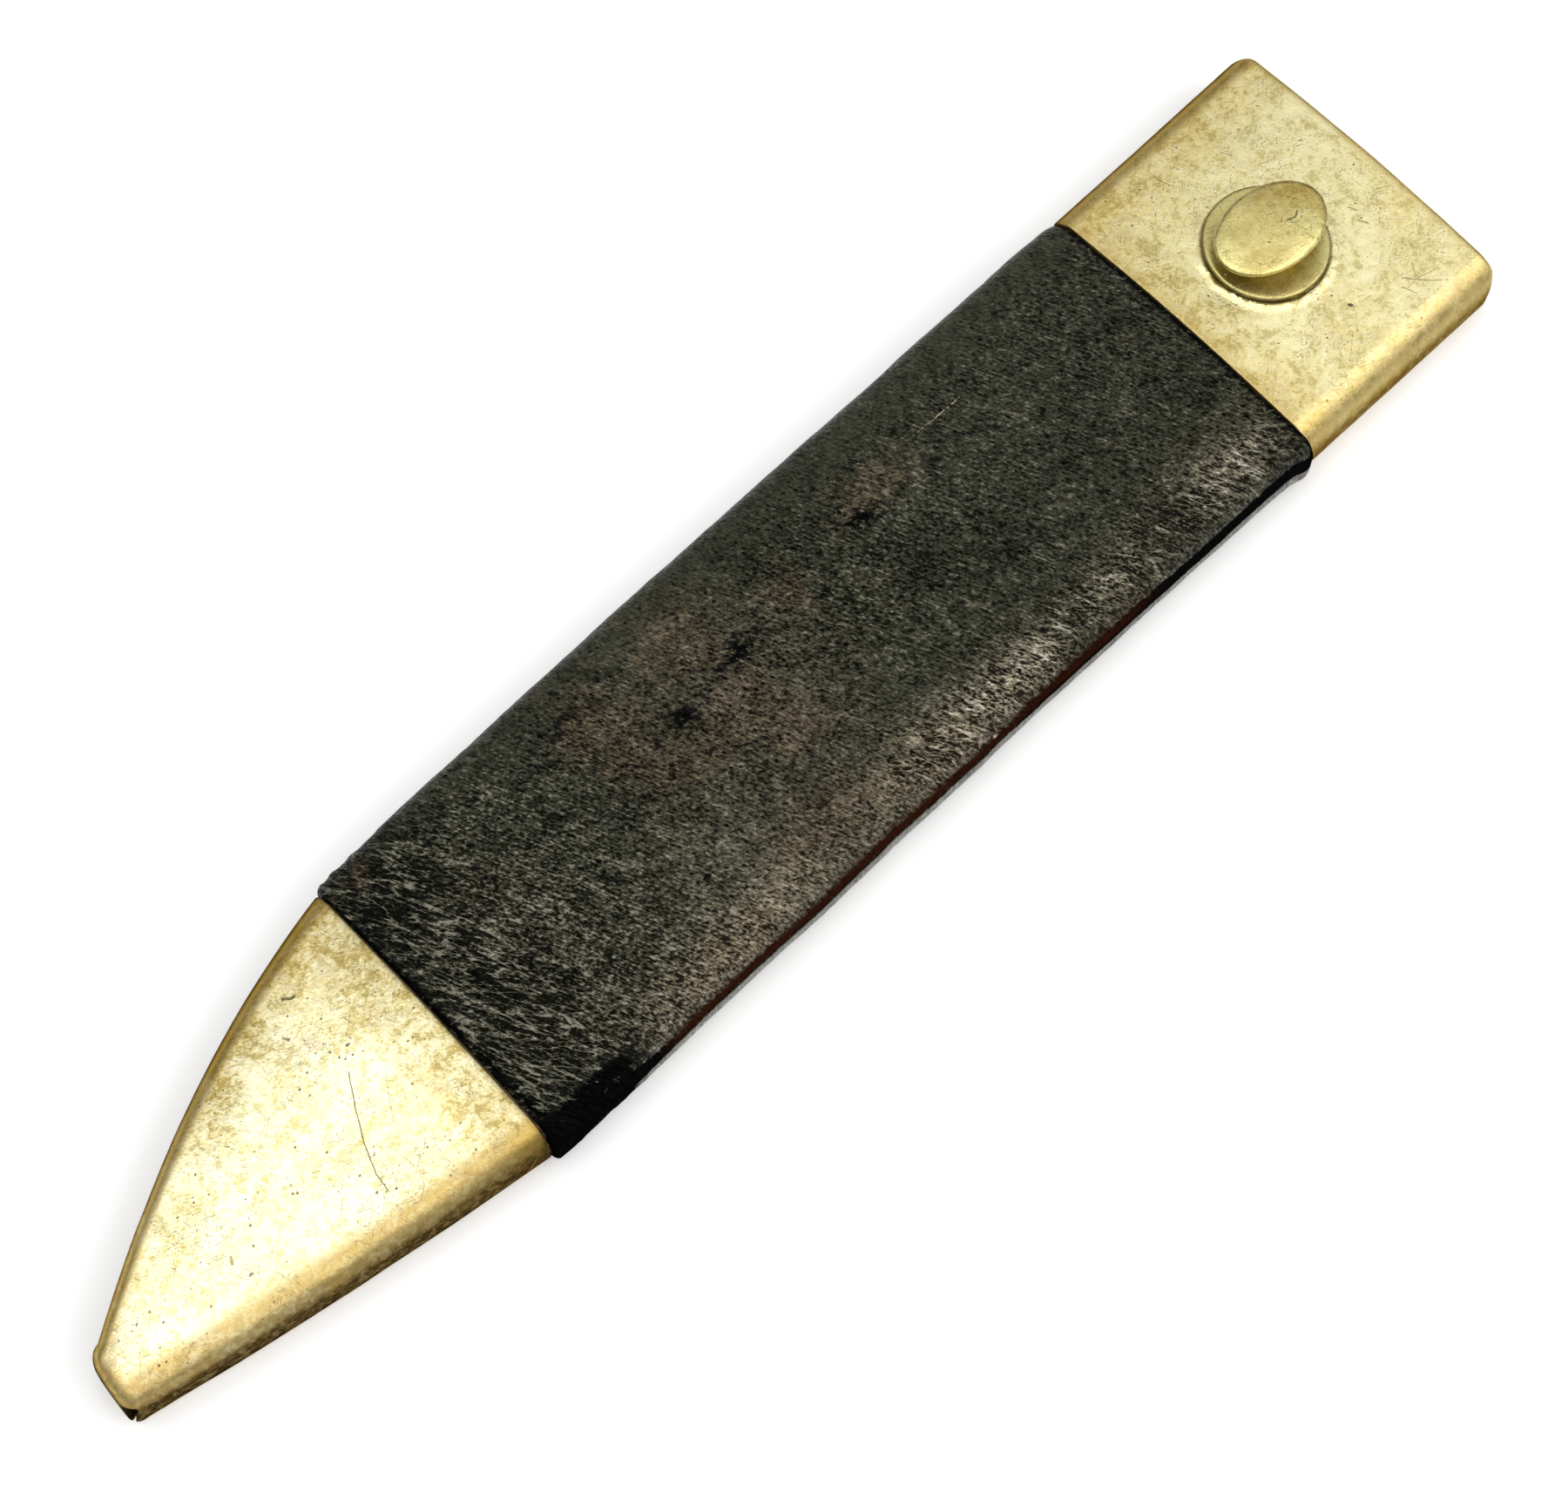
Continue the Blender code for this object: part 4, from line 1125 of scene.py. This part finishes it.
def paint_leather(cover):
    points = vertices_of(cover)
    x, y, z = points.T
    side = smooth((SIDE_TOP_Z - z) / 0.9) * (y < 0)
    corner = smooth((CHAPE_EDGE_X + 17.0 - x) / 9.0) * smooth((-y - 15.8) / 2.6)
    brown = np.clip(blobs(points, BROWN_PATCHES), 0, 1)
    paint(cover, "brown", brown * (1 - side) * (1 - corner))
    paint(cover, "pored", blobs(points, PORED))
    stain_and_shade = blobs(points, STAINS)
    ends = bell(x - (LEATHER_END_X - 0.2), 0.6) + bell(x - (CHAPE_EDGE_X + 0.4), 0.6)
    red_stretch = smooth((x + 38.0) / 6.0) * smooth((30.0 - x) / 12.0)
    # Painted shade: the upper band of the spine-side wall is painted black, as a dark reflection.
    wall = side * smooth((z - WALL_Z) / 0.7) * (1 - 0.6 * red_stretch)
    paint(cover, "stain_and_shade", stain_and_shade + ends + 1.3 * corner + 2.0 * wall, most=2.0)
    contrast = 0.88 + strong_blobs(points, CONTRASTS)
    paint(cover, "contrast", contrast - 0.35 * smooth((y - 13.0) / 5.0), most=3.0)
    # Pale patches: scuffed leather, and painted sheen on the spine-side shoulder.
    scuff_and_sheen = 0.01 + strong_blobs(points, SHEEN_AND_SCUFF_PATCHES)
    # Painted reflection of the floor: a paler band along the low ridge of the spine side.
    ridge_painted_reflection = 0.5 * (y < -15.0) * bell(z - RIDGE_Z, 1.5)
    paint(cover, "scuff_and_sheen", np.clip(scuff_and_sheen, 0, 1) * (1 - side) * (1 - corner) + ridge_painted_reflection)
    rubbed_stretch = smooth((x + 36.0) / 6.0) * smooth((46.0 - x) / 10.0)
    paint(cover, "rubbed", bell(z - RUBBED_Z, 1.1) * (y < -18.0) * rubbed_stretch)
    edges = 0.5 * smooth((z - 7.0) / 1.0) * bell(np.abs(y) - 20.0, 1.6)
    paint(cover, "polish", side + 0.6 * corner + edges)
    # Where the crease ridges show, both in bump and as a painted highlight.
    chape_folds = smooth((CHAPE_EDGE_X + 18.0 - x) / 12.0)
    spine_folds = 0.8 * bell(y + 16.5, 3.5) * smooth(x / 10.0)
    paint(cover, "crease", 0.08 + 0.92 * np.maximum(chape_folds, spine_folds))
    smoother = 0.4 * smooth((x - 22.0) / 12.0) * smooth((y + 4.0) / 8.0)
    paint(cover, "grain", 1 - 0.75 * np.maximum(side, corner) - smoother)


def paint_brass(piece, dirt_and_shade=0.0):
    """Golden brown along the edges, warmer tarnish near them and grime in the joints; the lower sides and
    walls are darkened as painted shade.
    """
    points = vertices_of(piece)
    x, y, z = points.T
    # Painted shade: the sides grow browner and darker below the shoulder, towards the floor.
    low_z = smooth((SHOULDER - 0.6 - z) / 3.0)
    if piece.name.startswith("chape"):
        high_y = np.array([body_edge_y(each) for each in x])
        low_y = np.array([body_spine_y(each) for each in x])
        edge_side = smooth((y - high_y + 3.4) / 2.2)
        spine_side = 0.95 * smooth((low_y + 4.3 - y) / 2.2)
        over = np.maximum.reduce([edge_side, spine_side, smooth((TIP_X + 3.4 - x) / 2.4)])
        warm = 0.8 * smooth((x - CHAPE_EDGE_X + 10.0) / 8.0)
        warm = np.maximum(warm, smooth((y - high_y + 9.0) / 7.0) * smooth((x + 84.0) / 12.0))
        joint = bell(x - CHAPE_EDGE_SLANT * y - CHAPE_EDGE_X, 0.5)
        seam = bell(z - SEAM_Z + 0.07, 0.35)
        # Painted shade, with some grime: the chape's lower walls darken towards the floor, on the spine
        # side and on the far side.
        drop = np.array([toward_tip(each, SHOULDER, TIP_SHOULDER) for each in x]) - z
        spine = 0.95 * smooth((drop - 0.2) / 2.6) * smooth((z - 0.4) / 1.2)
        far = 0.9 * smooth((drop - 0.5) / 1.2)
        under = np.where(y > low_y + 4.0, far, spine) * smooth(z / 0.8)
    else:
        edge_side = 0.8 * smooth((y - MOUTH_HALF_WIDTH + 3.8) / 2.4)
        spine_side = 0.75 * smooth((4.4 - MOUTH_HALF_WIDTH - y) / 2.4)
        mouth = 0.75 * smooth((x - MOUTH_X + 1.4) / 1.2)
        over = np.maximum.reduce([edge_side, spine_side, mouth, 0.5 * bell(x - LOCKET_EDGE_X, 1.3)])
        warm = 0.7 * smooth((y - 11.0) / 5.0)
        warm = np.maximum(warm, 0.6 * smooth((LOCKET_EDGE_X + 7.5 - x) / 5.0))
        joint = 0.6 * bell(x - LOCKET_EDGE_X, 0.25)
        seam = np.zeros(len(points))
        # Painted shade, with some grime: the locket's lower walls darken towards the floor.
        drop = SHOULDER - z
        spine = 0.6 * smooth((drop - 1.6) / 2.4) * smooth((z - 1.0) / 2.5)
        under = np.where(y > 0, 0.8 * smooth((drop - 0.5) / 1.2), spine) * smooth(z / 0.8)
    # Tarnish along the edges, and the painted shade of the lower sides.
    paint(piece, "edge", 0.85 * np.maximum(over, low_z))
    radius, angle = stud_ring(points)
    if piece.name in ("frog_stud", "stud_base_disc"):
        under = np.zeros(len(points))
    if piece.name == "frog_stud":
        warm = 0.9 * smooth((radius * np.cos(angle - math.radians(35.0)) - 0.5) / 4.5)
    paint(piece, "warm", warm)
    gap = 0.7 * bell(radius - (BASE_RADIUS + 0.08), 0.12) * (z > 8.0)
    # Dark joints, seam and disc gap are grime; under is painted shade on the lower walls; the extra
    # amount darkens the whole piece.
    paint(piece, "dirt_and_shade", 0.4 * joint + 0.7 * seam + gap + under + dirt_and_shade)


# Put the pieces together.

LOCKET_BRASS = brass_material(
    "locket_brass_look",
    tint=(0.88, 0.80, 0.44),
    gold=(0.84, 0.72, 0.34),
    warmth=(0.72, 0.60, 0.36),
    gloss=0.27,
    pitting=0.0,
    marks=LOCKET_MARKS,
)
CHAPE_BRASS = brass_material(
    "chape_brass_look",
    tint=(0.90, 0.85, 0.56),
    gold=(0.86, 0.76, 0.42),
    warmth=(0.48, 0.40, 0.21),
    gloss=0.24,
    pitting=0.05,
    marks=CHAPE_MARKS,
)
STUD_BRASS = brass_material(
    "stud_brass_look",
    tint=(0.73, 0.65, 0.27),
    gold=(0.66, 0.54, 0.20),
    warmth=(0.72, 0.58, 0.34),
    gloss=0.25,
    pitting=0.02,
    marks=STUD_MARKS,
)
LEATHER = leather_material()
WOOD_TONES = ((0.3, (0.16, 0.09, 0.045)), (0.6, (0.34, 0.22, 0.12)), (0.8, (0.42, 0.30, 0.18)))
WOOD = fibre_material("old_wood", (22.0, 0.5, 0.5), 0.0, (4.0, 0.6), WOOD_TONES, (0.75, 0.6), 0.12)
THREAD_TONES = ((0.3, (0.05, 0.036, 0.024)), (0.7, (0.16, 0.115, 0.075)))
THREAD_SIZES = (0.25, 0.12, 0.2)
THREAD = fibre_material("waxed_thread", THREAD_SIZES, 30.0, (2.0, 0.5), THREAD_TONES, (0.7, 0.5), 0.06)

sleeve = build_sleeve()
paint_brass(sleeve)
show(sleeve, LOCKET_BRASS, "locket_brass", "locket_sleeve")

plate = build_mouth_plate()
paint_brass(plate, dirt_and_shade=0.25)
show(plate, LOCKET_BRASS, "locket_brass", "locket_mouth_plate")

stud, base = build_stud()
paint_brass(stud)
paint_brass(base, dirt_and_shade=0.22)
show(stud, STUD_BRASS, "stud_brass", "stud")
show(base, STUD_BRASS, "stud_brass", "stud_base")

cover = build_leather()
paint_leather(cover)
show(cover, LEATHER, "dark_leather", "leather_cover", sharp=60.0)

thread = build_thread()
show(thread, THREAD, "waxed_thread", "seam_thread")

front, back = build_chape()
for piece, node in ((front, "chape_front_shell"), (back, "chape_back_plate")):
    paint_brass(piece)
    show(piece, CHAPE_BRASS, "chape_brass", node)

for material, names in (
    (WOOD, ("core_front_board", "core_back_board", "core_edge_strip", "core_spine_strip")),
    (STUD_BRASS, ("stud_washer",)),
    (LOCKET_BRASS, ("locket_pin_edge", "locket_pin_spine")),
    (CHAPE_BRASS, ("chape_pin_edge", "chape_pin_spine")),
):
    for name in names:
        dress(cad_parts[name], material)


# Floor, light and camera.

FLOOR_HALF = 3.0
FLOOR_GAP = 0.00002
HORIZON_TO_ZENITH = ((0.0, 0.10), (0.30, 0.20), (0.62, 0.62), (1.0, 1.0))
CAMERA_PLACE = (-125.25, -109.22, 415.92)
CAMERA_RIGHT = (0.70856, -0.70476, 0.03538)
CAMERA_FORWARD = (0.28297, 0.23785, -0.92917)
CAMERA_LENS = 92.0


def build_stage():
    mesh = bpy.data.meshes.new("floor")
    signs = ((-1, -1), (1, -1), (1, 1), (-1, 1))
    mesh.from_pydata([(FLOOR_HALF * x, FLOOR_HALF * y, 0) for x, y in signs], [], [(0, 1, 2, 3)])
    floor = new_object("floor", mesh)
    paper = Shader("white_paper").finish(
        Base_Color=(0.95, 0.95, 0.95, 1.0),
        Roughness=0.9,
        Specular_IOR_Level=0.1,
        Emission_Color=(1.0, 1.0, 1.0, 1.0),
        Emission_Strength=0.18,
    )
    mesh.materials.append(paper)
    floor.location.z = cad_low.z - FLOOR_GAP


def area_light(name, place, target, size, radiance):
    data = bpy.data.lights.new(name, "AREA")
    data.shape = "RECTANGLE"
    data.size, data.size_y = size
    data.energy = radiance * math.pi * size[0] * size[1]
    light = new_object(name, data)
    light.location = place
    light.rotation_mode = "QUATERNION"
    light.rotation_quaternion = (Vector(target) - Vector(place)).to_track_quat("-Z", "Y")


def build_world():
    """A white room that is dim near the horizon, seen as plain white itself."""
    world = bpy.data.worlds.new("white_room")
    bpy.context.scene.world = world
    world.use_nodes = True
    tree = world.node_tree
    tree.nodes.clear()
    kinds = "TexCoord SeparateXYZ ValToRGB Background Background LightPath MixShader OutputWorld"
    nodes = [tree.nodes.new("ShaderNode" + kind) for kind in kinds.split()]
    place, split, level, lit, seen, path, mix, out = nodes
    fill_ramp(level, [(height, (grey, grey, grey)) for height, grey in HORIZON_TO_ZENITH])
    lit.inputs["Strength"].default_value = 1.12
    seen.inputs["Color"].default_value = (0.97, 0.97, 0.97, 1.0)
    for output, socket in (
        (place.outputs["Generated"], split.inputs[0]),
        (split.outputs["Z"], level.inputs["Fac"]),
        (level.outputs["Color"], lit.inputs["Color"]),
        (path.outputs["Is Camera Ray"], mix.inputs[0]),
        (lit.outputs[0], mix.inputs[1]),
        (seen.outputs[0], mix.inputs[2]),
        (mix.outputs[0], out.inputs["Surface"]),
    ):
        tree.links.new(output, socket)


def build_camera():
    data = bpy.data.cameras.new("camera")
    data.lens = CAMERA_LENS
    data.sensor_width = 36.0
    data.clip_start = 0.01
    data.clip_end = 20.0
    camera = new_object("camera", data)
    right = Vector(CAMERA_RIGHT)
    forward = Vector(CAMERA_FORWARD).normalized()
    right = (right - forward * right.dot(forward)).normalized()
    up = right.cross(forward)
    turn = Matrix((right, up, -forward)).transposed()
    camera.matrix_world = Matrix.Translation(Vector(CAMERA_PLACE) * MM) @ turn.to_4x4()
    bpy.context.scene.camera = camera


build_stage()
build_world()
area_light("high_window", (-0.26, 0.12, 1.0), target=(-0.05, 0.0, 0.0), size=(0.75, 0.75), radiance=1.15)
area_light("side_window", (0.35, -0.72, 0.85), target=(0.0, 0.0, 0.0), size=(1.2, 0.8), radiance=1.6)
build_camera()
bpy.context.scene.view_settings.view_transform = "Standard"
